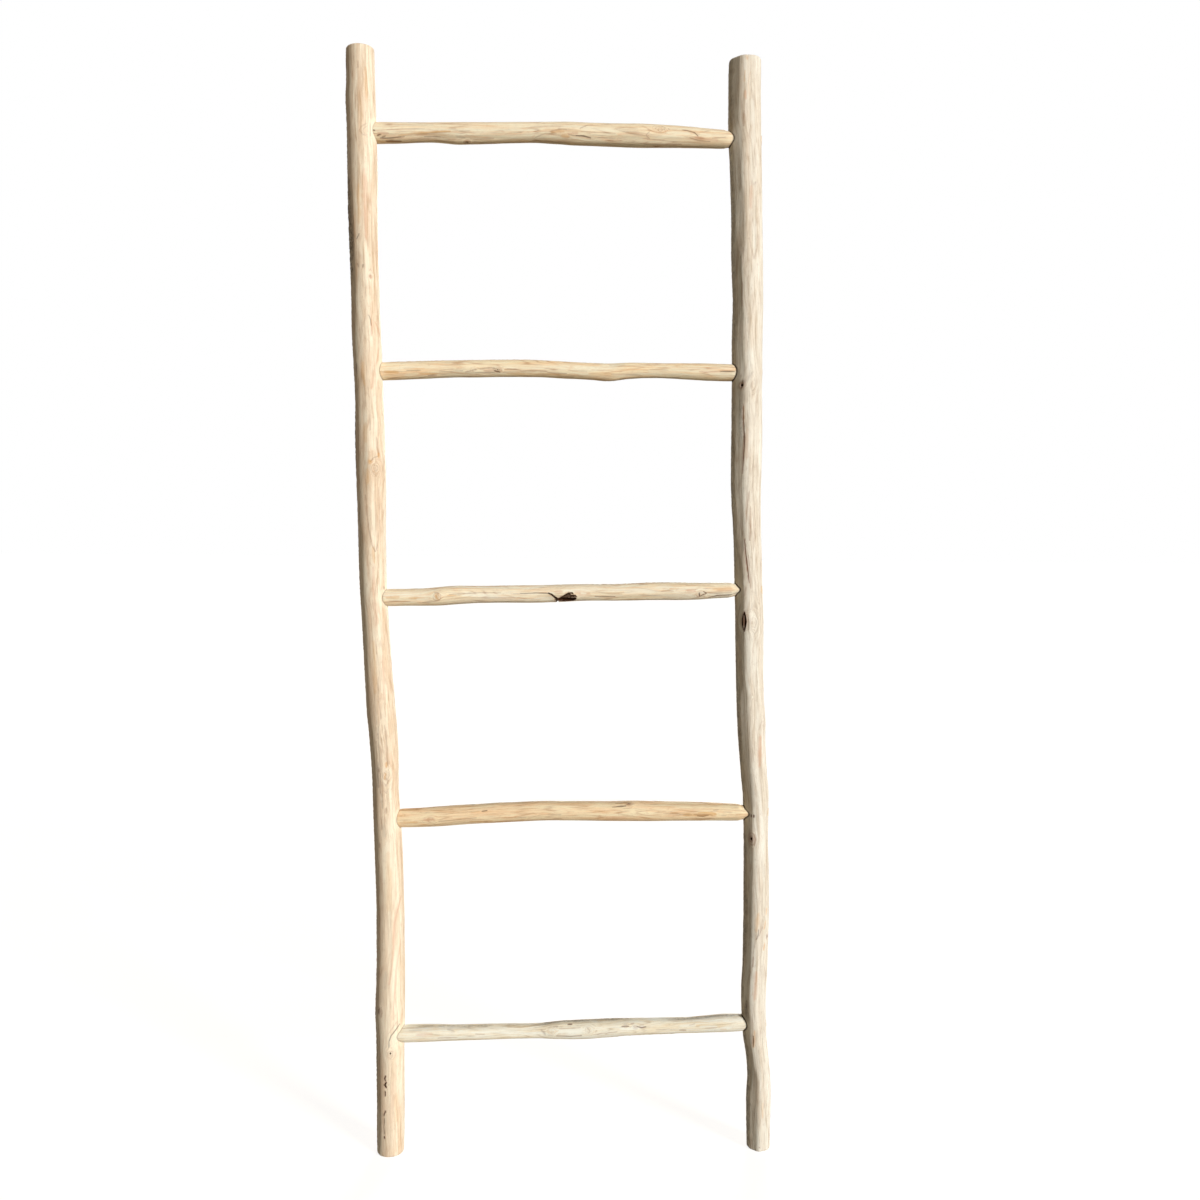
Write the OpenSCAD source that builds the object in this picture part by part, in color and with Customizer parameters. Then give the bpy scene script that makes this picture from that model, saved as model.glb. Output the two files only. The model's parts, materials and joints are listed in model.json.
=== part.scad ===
// Decorative ladder made of peeled branches.
// Two upright rails carry five rungs. Every rung end is coped, so that it fits round its rail,
// and a long countersunk screw goes through the rail into the end of the rung. A wood plug,
// cut flush with the rail, closes the hole over each screw head.
// X is the width, Y is the depth with the front at -Y, and Z is the height. The feet stand at Z 0.

/* [Rails] */
// Height of the rails
rail_h = 1500; // [1200:10:2000]
// Mean diameter of the left rail
left_rail_d = 38; // [34:0.5:50]
// Mean diameter of the right rail
right_rail_d = 39; // [34:0.5:50]
// Distance between the centres of the rails at the foot
foot_spacing = 519; // [400:1:700]
// Distance between the centres of the rails at the top
top_spacing = 509; // [400:1:700]
// How far the tops stand to the left of the feet
side_lean = 42; // [0:1:80]
// Width of the eased edge round each sawn end of a rail
end_ease = 2.5; // [1:0.5:6]

/* [Rungs] */
// Height of the centre of the lowest rung above the floor
foot_gap = 175; // [100:5:300]
// Height of the rail tops above the centre of the highest rung
head_gap = 107; // [60:1:200]
// Mean diameter of the lowest rung
rung_1_d = 22.5; // [18:0.5:31]
// Mean diameter of the second rung
rung_2_d = 26.5; // [18:0.5:31]
// Mean diameter of the third rung
rung_3_d = 23.5; // [18:0.5:31]
// Mean diameter of the fourth rung
rung_4_d = 22.8; // [18:0.2:31]
// Mean diameter of the highest rung
rung_5_d = 27.5; // [18:0.5:31]
// Gap between a coped rung end and its rail
cope_gap = 0.2; // [0.1:0.1:0.5]

/* [Screws and plugs] */
// Length of the screws
screw_l = 70; // [50:5:90]
// Diameter of the screws
screw_d = 5; // [4:0.5:6]
// Diameter of the screw heads
head_d = 9.5; // [8:0.5:10]
// Gap between a screw and the wood round it
screw_fit = 0.1; // [0.05:0.05:0.3]
// Diameter of the wood plugs
plug_d = 12; // [11:0.5:14]
// Length of the wood plugs
plug_l = 8; // [5:0.5:10]
// Gap between a plug and its hole
plug_fit = 0.1; // [0.05:0.05:0.3]

/* [Hidden] */
$fn = 48;

// Sides and rings of the branches
rail_sides = 24;
rail_rings = 56;
rung_sides = 18;
rung_rings = 22;
// Least gap between two rings, and how far a stretch of rail reaches beyond its cut, in even steps
least_step = 0.4;
spare_step = 1.01;

// How far the stretch of rail that shapes a rung end or a plug reaches to each side of it,
// in diameters of the rung or the plug
cope_reach = 0.8;
plug_reach = 0.6;

LEFT = 0;
RIGHT = 1;
RUNGS = [1, 2, 3, 4, 5];
rail_d = [left_rail_d, right_rail_d];
rung_d = [0, rung_1_d, rung_2_d, rung_3_d, rung_4_d, rung_5_d];
rung_pitch = (rail_h - foot_gap - head_gap) / (len(RUNGS) - 1);

// How a rail grows from foot to top: share of the height, then its bow to the right, its bow
// to the back and its thickness, each in rail diameters
rail_form = [
    [
        [0.00, 0.00, 0.00, 0.960],
        [0.05, 0.06, 0.02, 0.990],
        [0.10, 0.09, 0.04, 0.995],
        [0.14, 0.14, 0.06, 1.045],
        [0.20, 0.20, 0.08, 1.020],
        [0.25, 0.22, 0.09, 1.010],
        [0.30, 0.21, 0.08, 1.010],
        [0.34, 0.18, 0.06, 0.945],
        [0.38, 0.17, 0.04, 1.015],
        [0.42, 0.09, 0.02, 1.050],
        [0.46, 0.03, 0.00, 0.990],
        [0.50, -0.02, -0.02, 0.970],
        [0.54, -0.05, -0.05, 0.985],
        [0.58, -0.03, -0.07, 1.000],
        [0.62, -0.01, -0.08, 1.065],
        [0.66, -0.01, -0.08, 1.055],
        [0.70, 0.00, -0.07, 1.005],
        [0.75, -0.04, -0.05, 1.020],
        [0.80, -0.04, -0.04, 0.990],
        [0.85, -0.05, -0.03, 1.010],
        [0.90, -0.02, -0.02, 1.035],
        [0.95, -0.01, -0.01, 0.985],
        [1.00, 0.00, 0.00, 0.950]
    ],
    [
        [0.00, 0.00, 0.00, 0.860],
        [0.02, 0.01, 0.00, 0.870],
        [0.05, 0.03, -0.02, 0.920],
        [0.08, 0.05, -0.04, 0.815],
        [0.10, -0.06, -0.05, 0.850],
        [0.12, -0.10, -0.06, 0.890],
        [0.15, -0.12, -0.07, 0.910],
        [0.18, -0.05, -0.08, 0.905],
        [0.22, 0.01, -0.08, 0.935],
        [0.26, 0.04, -0.07, 0.935],
        [0.30, 0.04, -0.06, 0.880],
        [0.34, 0.06, -0.04, 0.945],
        [0.36, 0.00, -0.02, 0.945],
        [0.40, -0.07, 0.00, 0.975],
        [0.44, -0.09, 0.03, 0.970],
        [0.50, -0.08, 0.05, 1.000],
        [0.54, -0.10, 0.06, 0.970],
        [0.58, -0.11, 0.06, 0.975],
        [0.61, -0.14, 0.06, 1.020],
        [0.65, -0.11, 0.05, 1.065],
        [0.68, -0.08, 0.04, 1.060],
        [0.72, -0.06, 0.02, 1.025],
        [0.76, -0.03, 0.01, 1.055],
        [0.78, 0.00, 0.00, 1.025],
        [0.82, -0.01, -0.01, 1.070],
        [0.86, -0.01, -0.02, 1.040],
        [0.90, -0.02, -0.03, 1.065],
        [0.93, -0.03, -0.02, 1.085],
        [0.97, -0.03, -0.01, 1.085],
        [1.00, 0.00, 0.00, 1.065]
    ]
];

// Ovalness of each rail, the way its long axis points, and how far that turns from foot to top
rail_oval = [[0.025, 20, 150], [0.030, 100, -120]];

// Knots and trimmed side shoots on each rail: share of the height, angle round the rail with 0
// to the right and 270 to the front, height and length in rail diameters, spread in degrees
rail_knots = [
    [
        [0.094, 274, 0.035, 0.55, 38],
        [0.140, 180, 0.030, 0.50, 34],
        [0.355, 280, 0.040, 0.60, 38],
        [0.490, 95, 0.050, 0.50, 34],
        [0.640, 288, 0.035, 0.60, 38],
        [0.760, 130, 0.045, 0.55, 36],
        [0.805, 296, 0.030, 0.45, 34],
        [0.955, 185, 0.040, 0.35, 40]
    ],
    [
        [0.170, 10, 0.035, 0.60, 40],
        [0.300, 245, 0.045, 0.55, 36],
        [0.405, 0, 0.045, 0.40, 34],
        [0.500, 243, 0.050, 0.55, 34],
        [0.560, 80, 0.055, 0.55, 34],
        [0.715, 248, 0.045, 0.55, 34],
        [0.840, 110, 0.040, 0.50, 36],
        [0.930, 200, 0.035, 0.55, 38]
    ]
];

// Place of each rung: shift up in rung pitches, tilt up to the right in degrees, then how far
// its left and its right end lie behind the middle of the rail, in rung diameters
rung_place = [
    [],
    [0.002, 1.3, -0.14, 0.00],
    [-0.007, 1.2, 0.05, -0.09],
    [0.003, 1.6, -0.06, -0.19],
    [-0.018, 0.7, 0.08, -0.04],
    [-0.001, 0.2, 0.08, -0.09]
];

// How a rung grows from left to right: share of its length, rise, bow to the back and
// thickness, each in rung diameters
rung_form = [
    [],
    [
        [0.00, 0.00, 0.00, 1.06],
        [0.10, -0.02, 0.00, 1.03],
        [0.20, -0.06, 0.02, 0.92],
        [0.30, -0.09, 0.05, 0.91],
        [0.40, -0.14, 0.08, 0.88],
        [0.46, -0.15, 0.09, 1.02],
        [0.52, -0.14, 0.10, 1.15],
        [0.59, -0.10, 0.09, 1.12],
        [0.65, -0.06, 0.07, 1.03],
        [0.72, -0.05, 0.05, 0.99],
        [0.80, -0.06, 0.03, 0.92],
        [0.86, -0.02, 0.02, 1.00],
        [0.91, 0.03, 0.01, 1.10],
        [1.00, 0.03, 0.00, 0.98]
    ],
    [
        [0.00, 0.00, 0.00, 0.94],
        [0.10, 0.04, -0.01, 0.97],
        [0.16, 0.10, -0.02, 1.02],
        [0.22, 0.17, -0.03, 0.99],
        [0.30, 0.22, -0.04, 1.00],
        [0.42, 0.29, -0.06, 1.00],
        [0.52, 0.26, -0.07, 1.00],
        [0.62, 0.21, -0.07, 1.02],
        [0.70, 0.19, -0.05, 1.06],
        [0.78, 0.14, -0.03, 1.01],
        [0.86, 0.11, -0.02, 0.96],
        [0.93, 0.03, -0.01, 0.91],
        [1.00, 0.00, 0.00, 0.86]
    ],
    [
        [0.00, -0.02, 0.00, 1.01],
        [0.10, -0.03, 0.01, 1.00],
        [0.16, -0.03, 0.02, 1.06],
        [0.21, 0.04, 0.03, 1.10],
        [0.27, 0.06, 0.05, 1.00],
        [0.36, 0.03, 0.07, 1.00],
        [0.45, 0.00, 0.08, 1.00],
        [0.54, 0.04, 0.08, 0.96],
        [0.64, 0.00, 0.06, 0.95],
        [0.75, 0.03, 0.04, 1.01],
        [0.85, -0.03, 0.02, 0.98],
        [0.91, 0.00, 0.01, 0.90],
        [1.00, 0.02, 0.00, 0.80]
    ],
    [
        [0.00, 0.00, 0.00, 1.05],
        [0.10, 0.08, 0.02, 1.05],
        [0.20, 0.18, 0.04, 1.00],
        [0.30, 0.22, 0.06, 1.00],
        [0.42, 0.26, 0.08, 1.00],
        [0.50, 0.20, 0.09, 0.97],
        [0.58, 0.09, 0.08, 1.00],
        [0.64, 0.05, 0.07, 1.00],
        [0.69, 0.14, 0.06, 0.95],
        [0.75, 0.15, 0.04, 0.85],
        [0.82, 0.12, 0.03, 0.93],
        [0.90, 0.06, 0.01, 1.01],
        [1.00, 0.00, 0.00, 1.01]
    ],
    [
        [0.00, 0.00, 0.00, 1.00],
        [0.10, 0.04, -0.02, 0.93],
        [0.18, 0.09, -0.03, 0.88],
        [0.27, 0.07, -0.04, 0.98],
        [0.37, 0.12, -0.06, 0.95],
        [0.46, 0.17, -0.07, 0.94],
        [0.54, 0.13, -0.08, 1.06],
        [0.62, 0.11, -0.08, 1.05],
        [0.70, 0.10, -0.07, 1.09],
        [0.78, 0.10, -0.05, 1.05],
        [0.86, 0.07, -0.03, 0.98],
        [0.94, 0.02, -0.01, 0.87],
        [1.00, 0.00, 0.00, 0.84]
    ]
];

// Ovalness of each rung, the way its long axis points, and how far that turns along it
rung_oval = [
    [],
    [0.030, 30, 90],
    [0.020, 80, -60],
    [0.025, 10, 120],
    [0.020, 60, 70],
    [0.025, 120, -80]
];

// Knots on each rung: share of the length, angle round the rung with 0 to the back, 90 up and
// 180 to the front, height and length in rung diameters, spread in degrees. A hollow is negative
rung_knots = [
    [],
    [
        [0.465, 100, 0.060, 0.40, 50],
        [0.625, 175, 0.050, 0.35, 40],
        [0.780, 60, 0.040, 0.50, 50]
    ],
    [
        [0.300, 100, 0.040, 0.35, 40],
        [0.650, 120, 0.060, 0.40, 46],
        [0.845, 195, 0.060, 0.45, 44]
    ],
    [
        [0.175, 150, 0.040, 0.40, 60],
        [0.460, 212, -0.170, 0.42, 30],
        [0.510, 215, 0.070, 0.40, 40],
        [0.800, 170, 0.060, 0.45, 44]
    ],
    [
        [0.250, 178, 0.070, 0.45, 46],
        [0.500, 265, 0.040, 0.40, 44],
        [0.640, 262, 0.070, 0.35, 44]
    ],
    [
        [0.100, 235, 0.050, 0.40, 46],
        [0.240, 262, 0.060, 0.30, 40],
        [0.720, 170, 0.040, 0.40, 60]
    ]
];

// Smooth curves through a list of stations. Each station holds its place, then its values
function station_at(form, s, i = 0) =
    i >= len(form) - 2 || s < form[i + 1][0] ? i : station_at(form, s, i + 1);
function slope_at(form, i, k) =
    let (a = form[max(i - 1, 0)], b = form[min(i + 1, len(form) - 1)])
    (b[k] - a[k]) / (b[0] - a[0]);
function smooth(form, s, k) =
    let (
        i = station_at(form, s),
        a = form[i],
        b = form[i + 1],
        w = b[0] - a[0],
        u = (s - a[0]) / w,
        blend = u * u * (3 - 2 * u),
        leave = u * (1 - u) * (1 - u) * w * slope_at(form, i, k),
        arrive = u * u * (u - 1) * w * slope_at(form, i + 1, k)
    )
    a[k] + (b[k] - a[k]) * blend + leave + arrive;

// Angle between two directions round a branch, from 0 to 180
function turn_between(a, b) =
    let (t = abs(a - b) % 360)
    t > 180 ? 360 - t : t;

// Radius of a branch of mean diameter d, at share s of its length l and in direction angle
function branch_r(form, oval, knots, d, l, s, angle) =
    let (
        round_r = d / 2 * smooth(form, s, 3),
        squeeze = 1 + oval[0] * cos(2 * (angle - oval[1] - oval[2] * s)),
        swell = [
            for (k = knots)
            let (
                along = (s - k[0]) * l / (k[3] * d),
                across = turn_between(angle, k[1]) / k[4]
            )
            k[2] * d * exp(-along * along - across * across)
        ]
    )
    round_r * squeeze + sum(swell);
function sum(list, i = 0) = i >= len(list) ? 0 : list[i] + sum(list, i + 1);

// Places of the rings: even steps, and three close ones across the middle of each knot
function sorted(list) =
    len(list) < 2 ? list : let (
        mid = list[floor(len(list) / 2)],
        low = [for (v = list) if (v < mid) v],
        same = [for (v = list) if (v == mid) v],
        high = [for (v = list) if (v > mid) v]
    )
    concat(sorted(low), same, sorted(high));
function without_crowding(list, gap, i = 1, kept = []) =
    let (taken = len(kept) == 0 ? [list[0]] : kept)
    i >= len(list) - 1 ? concat(taken, [list[len(list) - 1]])
    : without_crowding(
        list, gap, i + 1,
        list[i] - taken[len(taken) - 1] < gap || list[len(list) - 1] - list[i] < gap
            ? taken : concat(taken, [list[i]])
    );
function knot_rings(knots, d, l) = [
    for (k = knots, step = [-0.5, 0, 0.5]) k[0] + step * k[3] * d / l
];

// Surface of a branch through a list of rings with the same number of points each
module branch_skin(rings) {
    sides = len(rings[0]);
    last = len(rings) - 1;
    points = [for (ring = rings) each ring];
    walls = [
        for (i = [0 : last - 1], j = [0 : sides - 1])
        let (
            a = i * sides + j,
            b = i * sides + (j + 1) % sides
        )
        each [[a, a + sides, b], [b, a + sides, b + sides]]
    ];
    start_cap = [for (j = [0 : sides - 1]) j];
    end_cap = [for (j = [sides - 1 : -1 : 0]) last * sides + j];
    polyhedron(points = points, faces = concat(walls, [start_cap, end_cap]), convexity = 6);
}

// Rails
lean_x = [side_lean / 2, -side_lean / 2];
half_spacing = [foot_spacing / 2, top_spacing / 2];
function grown_x(side, s) =
    let (out = side == LEFT ? -1 : 1)
    (1 - s) * (lean_x[0] + out * half_spacing[0]) + s * (lean_x[1] + out * half_spacing[1])
        + rail_d[side] * smooth(rail_form[side], s, 1);
function grown_y(side, s) = rail_d[side] * smooth(rail_form[side], s, 2);
function rail_r(side, s, angle) = branch_r(
    rail_form[side], rail_oval[side], rail_knots[side], rail_d[side], rail_h, s, angle
);

// How much the eased edge takes off the radius near a sawn end, at height z
function ease_off(z) =
    let (left = max(0, 1 - min(z, rail_h - z) / end_ease))
    end_ease * (1 - sqrt(1 - left * left));
function rail_ring(side, s, grow = 0) = [
    for (j = [0 : rail_sides - 1])
    let (
        angle = j * 360 / rail_sides,
        r = rail_r(side, s, angle) - ease_off(s * rail_h) + grow
    )
    [rail_x(side, s) + r * cos(angle), rail_y(side, s) + r * sin(angle), s * rail_h]
];
ease_rings = [for (z = [0, 0.3, 1]) z * end_ease / rail_h];
function rail_shares(side) =
    let (
        even = [for (i = [1 : rail_rings - 1]) i / rail_rings],
        low = ease_rings[2],
        body = without_crowding(
            sorted(concat([low, 1 - low], even, knot_rings(rail_knots[side], rail_d[side], rail_h))),
            least_step / rail_rings
        )
    )
    concat([ease_rings[0], ease_rings[1]], body, [1 - ease_rings[1], 1 - ease_rings[0]]);
rail_rows = [rail_shares(LEFT), rail_shares(RIGHT)];

// The origin stands midway between the outermost points of the rails, in width and in depth
left_edge = min([for (s = rail_rows[LEFT]) grown_x(LEFT, s) - rail_r(LEFT, s, 180)]);
right_edge = max([for (s = rail_rows[RIGHT]) grown_x(RIGHT, s) + rail_r(RIGHT, s, 0)]);
front_edge = min([
    for (side = [LEFT, RIGHT], s = rail_rows[side]) grown_y(side, s) - rail_r(side, s, 270)
]);
back_edge = max([
    for (side = [LEFT, RIGHT], s = rail_rows[side]) grown_y(side, s) + rail_r(side, s, 90)
]);
function rail_x(side, s) = grown_x(side, s) - (left_edge + right_edge) / 2;
function rail_y(side, s) = grown_y(side, s) - (front_edge + back_edge) / 2;

// A whole rail, or the stretch of it that reaches a little above and below height z
module rail_skin(side) {
    branch_skin([for (s = rail_rows[side]) rail_ring(side, s)]);
}
module rail_stretch(side, z, reach, grow) {
    rows = rail_rows[side];
    step = spare_step / rail_rings;
    kept = [for (s = rows) if (abs(s - z / rail_h) < reach / rail_h + step) s];
    branch_skin([for (s = kept) rail_ring(side, s, grow)]);
}

// Rungs. Their joints lie on the axis of the rail, pushed back or forth by rung_place
function rung_z(n) = foot_gap + rung_pitch * (n - 1 + rung_place[n][0]);
function joint(n, side) =
    let (
        out = side == LEFT ? -1 : 1,
        z = rung_z(n) + out * tan(rung_place[n][1]) * (foot_spacing + top_spacing) / 4,
        s = z / rail_h
    )
    [rail_x(side, s), rail_y(side, s) + rung_place[n][2 + side] * rung_d[n], z];
function unit(v) = v / norm(v);
function rung_dir(n) = unit(joint(n, RIGHT) - joint(n, LEFT));
function rung_length(n) = norm(joint(n, RIGHT) - joint(n, LEFT));
function rung_r(n, s, angle) = branch_r(
    rung_form[n], rung_oval[n], rung_knots[n], rung_d[n], rung_length(n), s, angle
);
function rung_ring(n, s) =
    let (
        ahead = rung_dir(n),
        back = unit([-ahead.y, ahead.x, 0]),
        up = cross(ahead, back),
        centre = joint(n, LEFT) + s * rung_length(n) * ahead
            + rung_d[n] * (smooth(rung_form[n], s, 1) * up + smooth(rung_form[n], s, 2) * back)
    )
    [
        for (j = [0 : rung_sides - 1])
        let (
            angle = j * 360 / rung_sides,
            r = rung_r(n, s, angle)
        )
        centre + r * (cos(angle) * back + sin(angle) * up)
    ];
function rung_shares(n) = without_crowding(
    sorted(concat(
        [for (i = [0 : rung_rings]) i / rung_rings],
        knot_rings(rung_knots[n], rung_d[n], rung_length(n))
    )),
    least_step / rung_rings
);

// Screws. Each one lies on the line between the two joints of its rung, and its head sits
// under the plug. The origin of a screw is the middle of its head's top, with +Z outwards
head_rim = 0.6;
tip_l = 6;
recess_w = 1.2;
recess_l = 5.2;
recess_depth = 2;
function outwards(n, side) = (side == LEFT ? -1 : 1) * rung_dir(n);
function wall_r(n, side) = rail_r(side, joint(n, side).z / rail_h, side == LEFT ? 180 : 0);
function head_place(n, side) =
    joint(n, side) + (wall_r(n, side) - plug_l - plug_fit) * outwards(n, side);

module facing(place, dir) {
    translate(place)
        rotate([0, acos(dir.z), atan2(dir.y, dir.x)])
            children();
}
module screw_form(grow) {
    head_r = head_d / 2 + grow;
    shank_r = screw_d / 2 + grow;
    neck = head_rim + head_r - shank_r;
    rotate_extrude()
        polygon([
            [0, 0],
            [head_r, 0],
            [head_r, -head_rim],
            [shank_r, -neck],
            [shank_r, -screw_l + tip_l],
            [grow, -screw_l - grow],
            [0, -screw_l - grow]
        ]);
}
module screw() {
    difference() {
        screw_form(0);
        for (turn = [0, 90])
            rotate(turn)
                translate([-recess_l / 2, -recess_w / 2, -recess_depth])
                    cube([recess_l, recess_w, 2 * recess_depth]);
    }
}
module screw_hole(n, side) {
    facing(head_place(n, side), outwards(n, side))
        screw_form(screw_fit);
}
module plug_hole(n, side, gap) {
    facing(head_place(n, side), outwards(n, side))
        translate([0, 0, gap])
            cylinder(d = plug_d + 2 * (plug_fit - gap), h = plug_l + rail_d[side] / 2);
}

// The parts
module rail(side) {
    color("wheat")
        difference() {
            rail_skin(side);
            for (n = RUNGS) {
                screw_hole(n, side);
                plug_hole(n, side, 0);
            }
        }
}
module rung(n) {
    color("burlywood")
        difference() {
            branch_skin([for (s = rung_shares(n)) rung_ring(n, s)]);
            for (side = [LEFT, RIGHT]) {
                rail_stretch(side, joint(n, side).z, cope_reach * rung_d[n], cope_gap);
                screw_hole(n, side);
            }
        }
}
module plug(n, side) {
    color("tan")
        intersection() {
            plug_hole(n, side, plug_fit);
            rail_stretch(side, joint(n, side).z, plug_reach * plug_d, 0);
        }
}
module rung_screws() {
    color("silver")
        for (n = RUNGS, side = [LEFT, RIGHT])
            facing(head_place(n, side), outwards(n, side))
                screw();
}

rail(LEFT);  // left_rail
rail(RIGHT);  // right_rail
rung(1);  // rung_1
rung(2);  // rung_2
rung(3);  // rung_3
rung(4);  // rung_4
rung(5);  // rung_5
rung_screws();
plug(1, LEFT);  // left_plug_1
plug(2, LEFT);  // left_plug_2
plug(3, LEFT);  // left_plug_3
plug(4, LEFT);  // left_plug_4
plug(5, LEFT);  // left_plug_5
plug(1, RIGHT);  // right_plug_1
plug(2, RIGHT);  // right_plug_2
plug(3, RIGHT);  // right_plug_3
plug(4, RIGHT);  // right_plug_4
plug(5, RIGHT);  // right_plug_5
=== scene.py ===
# Decorative ladder of peeled branches: the looks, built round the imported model.
# Every branch is a fine skin over its solid, with knots, cracks, hollows and wood grain of its own.
# Lengths are in metres. Places on a branch are in millimetres along it and degrees round it.
import json
import math

import bmesh
import bpy
import numpy as np
from mathutils import Matrix, Vector
from mathutils.bvhtree import BVHTree

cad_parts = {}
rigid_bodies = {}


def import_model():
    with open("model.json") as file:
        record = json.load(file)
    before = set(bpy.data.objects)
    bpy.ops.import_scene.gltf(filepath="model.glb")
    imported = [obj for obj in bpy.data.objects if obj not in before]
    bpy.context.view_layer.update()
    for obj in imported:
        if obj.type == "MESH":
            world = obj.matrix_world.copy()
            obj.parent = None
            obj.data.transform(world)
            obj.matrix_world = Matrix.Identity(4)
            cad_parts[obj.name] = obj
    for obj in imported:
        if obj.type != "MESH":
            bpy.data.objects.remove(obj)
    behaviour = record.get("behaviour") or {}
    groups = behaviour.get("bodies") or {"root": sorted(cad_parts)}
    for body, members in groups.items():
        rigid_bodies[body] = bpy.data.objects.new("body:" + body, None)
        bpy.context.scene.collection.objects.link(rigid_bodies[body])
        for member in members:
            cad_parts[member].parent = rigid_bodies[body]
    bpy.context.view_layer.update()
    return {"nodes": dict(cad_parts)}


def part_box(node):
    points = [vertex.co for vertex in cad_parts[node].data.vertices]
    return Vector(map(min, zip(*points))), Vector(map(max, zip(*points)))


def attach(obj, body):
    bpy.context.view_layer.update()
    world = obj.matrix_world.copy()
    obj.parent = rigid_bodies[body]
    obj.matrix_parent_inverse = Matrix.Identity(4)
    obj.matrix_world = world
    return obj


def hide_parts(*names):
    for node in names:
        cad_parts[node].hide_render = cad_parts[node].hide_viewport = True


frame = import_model()

MM = 0.001
TURN = 2 * math.pi

# Camera: place, then angles in degrees and lens in millimetres
CAMERA_AT = (-0.0191, -1.4997, 0.8735)
CAMERA_YAW = 2.5
CAMERA_PITCH = -3.7
CAMERA_ROLL = 0.59
LENS = 33.0
SENSOR = 36.0

# Lamps: azimuth to the right of the front and height in degrees, light level, softness in degrees
KEY_LAMP = (45, 14, 1.06, 12)
KEY_TINT = (1.0, 1.01, 1.06)
FRONT_LAMP = (2, 12, 0.1, 50)
BACK_LAMP = (166, 12, 0.8, 20)
SKY_FILL = (0.06, 0.05, 0.036)
FLOOR_TONE = (0.38, 0.33, 0.26)
FLOOR_LIFT = 0.88
FLOOR_REACH = 30.0

# Skin of the branches: cell sizes, and how the solids are sampled
RAIL_STEP = 2 * MM
RAIL_SIDES = 72
RUNG_STEP = 1.1 * MM
RUNG_SIDES = 80
SAMPLE_STEP = 2 * MM
SAMPLE_SIDES = 60
REACH = 90 * MM
RAIL_EASE = 2.6 * MM
RUNG_EASE = 0.5 * MM
CAP_RINGS = 10
EASE_RINGS = 4
EXTRA_ROWS = 8
SLOPE_ROWS = 5
HOLE_SPAN = 6
HOLE_DIP = 0.6 * MM
CENTRE_BLUR = 6
RADIUS_BLUR = (2.5, 0.9)
RAIL_SPARE = 4 * MM
RUNG_SPARE = 20 * MM
TOP_SLANT = {"right_rail": 1.8 * MM}
SLANT_REACH = 25 * MM
SAW_DEPTH = 0.12 * MM
RING_STEP = 1.6 * MM
END_RING_STEP = 3.2 * MM
PITH_R = 1.8 * MM
END_CHECKS = {"left_rail": (40, 165, 265), "right_rail": (95, 205, 330)}
CHECK_WIDTH = 3
CHECK_DEPTH = 0.4 * MM
WELD = 0.01 * MM
SHARP = 50
COPE_REACH = 30 * MM
COPE_GAP = (0.2 * MM, 0.45 * MM)
COPE_SIDES = 180
COPE_START = 30 * MM
COPE_SAMPLE = 34 * MM
# Painted shade round the ends of a rung where they meet the rails: darkness, then width, at the left and
# right end
RIM_SHADE = (0.25, 0.7)
RIM_SHADE_WIDTH = (1.0 * MM, 1.2 * MM)
RUNG_SEAM = 20

# Plugs
PLUG_R = 6.0 * MM
PLUG_HOLE_R = 6.1 * MM
PLUG_L = 8 * MM
PLUG_SIDES = 48
PATCH_CELLS = 6
PLUG_PITH = (1.3 * MM, -0.8 * MM)

# Rings of a dowel: share of its radius and depth, from the middle of its face round to its inner end
PLUG_RINGS = [(share, 0) for share in (0, 0.2, 0.4, 0.6, 0.8, 0.94)] + [
    (1 - 0.15 * MM / PLUG_R, 0.04 * MM), (1, 0.2 * MM), (1, 2 * MM), (1, 4 * MM), (1, 6 * MM),
    (1, PLUG_L - 0.6 * MM), (0.94, PLUG_L - 0.3 * MM), (0, PLUG_L - 0.3 * MM),
]

# Edges of cracks and strokes
MARK_REACH = 6 * MM
CRACK_RIM = 0.25 * MM
CRACK_SOFT = 0.4 * MM
CRACK_STAIN = 1.1 * MM
STROKE_TAPER = (0.45, 1.1)

# Finer cells: near knots in their radii, by holes and strokes in millimetres, and at the joints
FINE_KNOT = 1.25
FINE_HOLE = 1.5
FINE_CRACK = 1.6
FINE_STROKE = 1.8
FINE_STROKE_EDGE = 0.8
FINE_BAST = 0.3
FINE_JOINT = (1.6 * MM, 7 * MM)

# Waves of the skin, of the grain and of the rings: height, cell length, cells round the branch, and
# what is added to the seed of the branch
BUMPS = ((0.22 * MM, 38 * MM, 5, 0), (0.10 * MM, 11 * MM, 9, 1))
RIDGES = ((0.13 * MM, 70 * MM, 22, 2), (0.08 * MM, 24 * MM, 38, 3))
SLIP_ALONG = ((3 * MM, 60 * MM, 4, 4),)
SLIP_ROUND = ((2.4 * MM, 80 * MM, 4, 5), (1.1 * MM, 26 * MM, 8, 8))
RING_WAVES = ((1.6, 190 * MM, 6, 6), (1.0, 75 * MM, 11, 7))
BAST_LUMPS = ((1.0, 2.2 * MM, 54, 30),)
BAST_WANDER = ((1.0, 21 * MM, 3, 31), (0.8, 6 * MM, 3, 32))
RAGGED = ((0.35, 5 * MM, 24, 9),)
TWIST = 2.4

# Knots: depth of the groove round them, and of their holes
KNOT_GROOVE = 0.15 * MM
KNOT_HOLE = 2.2 * MM

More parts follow.
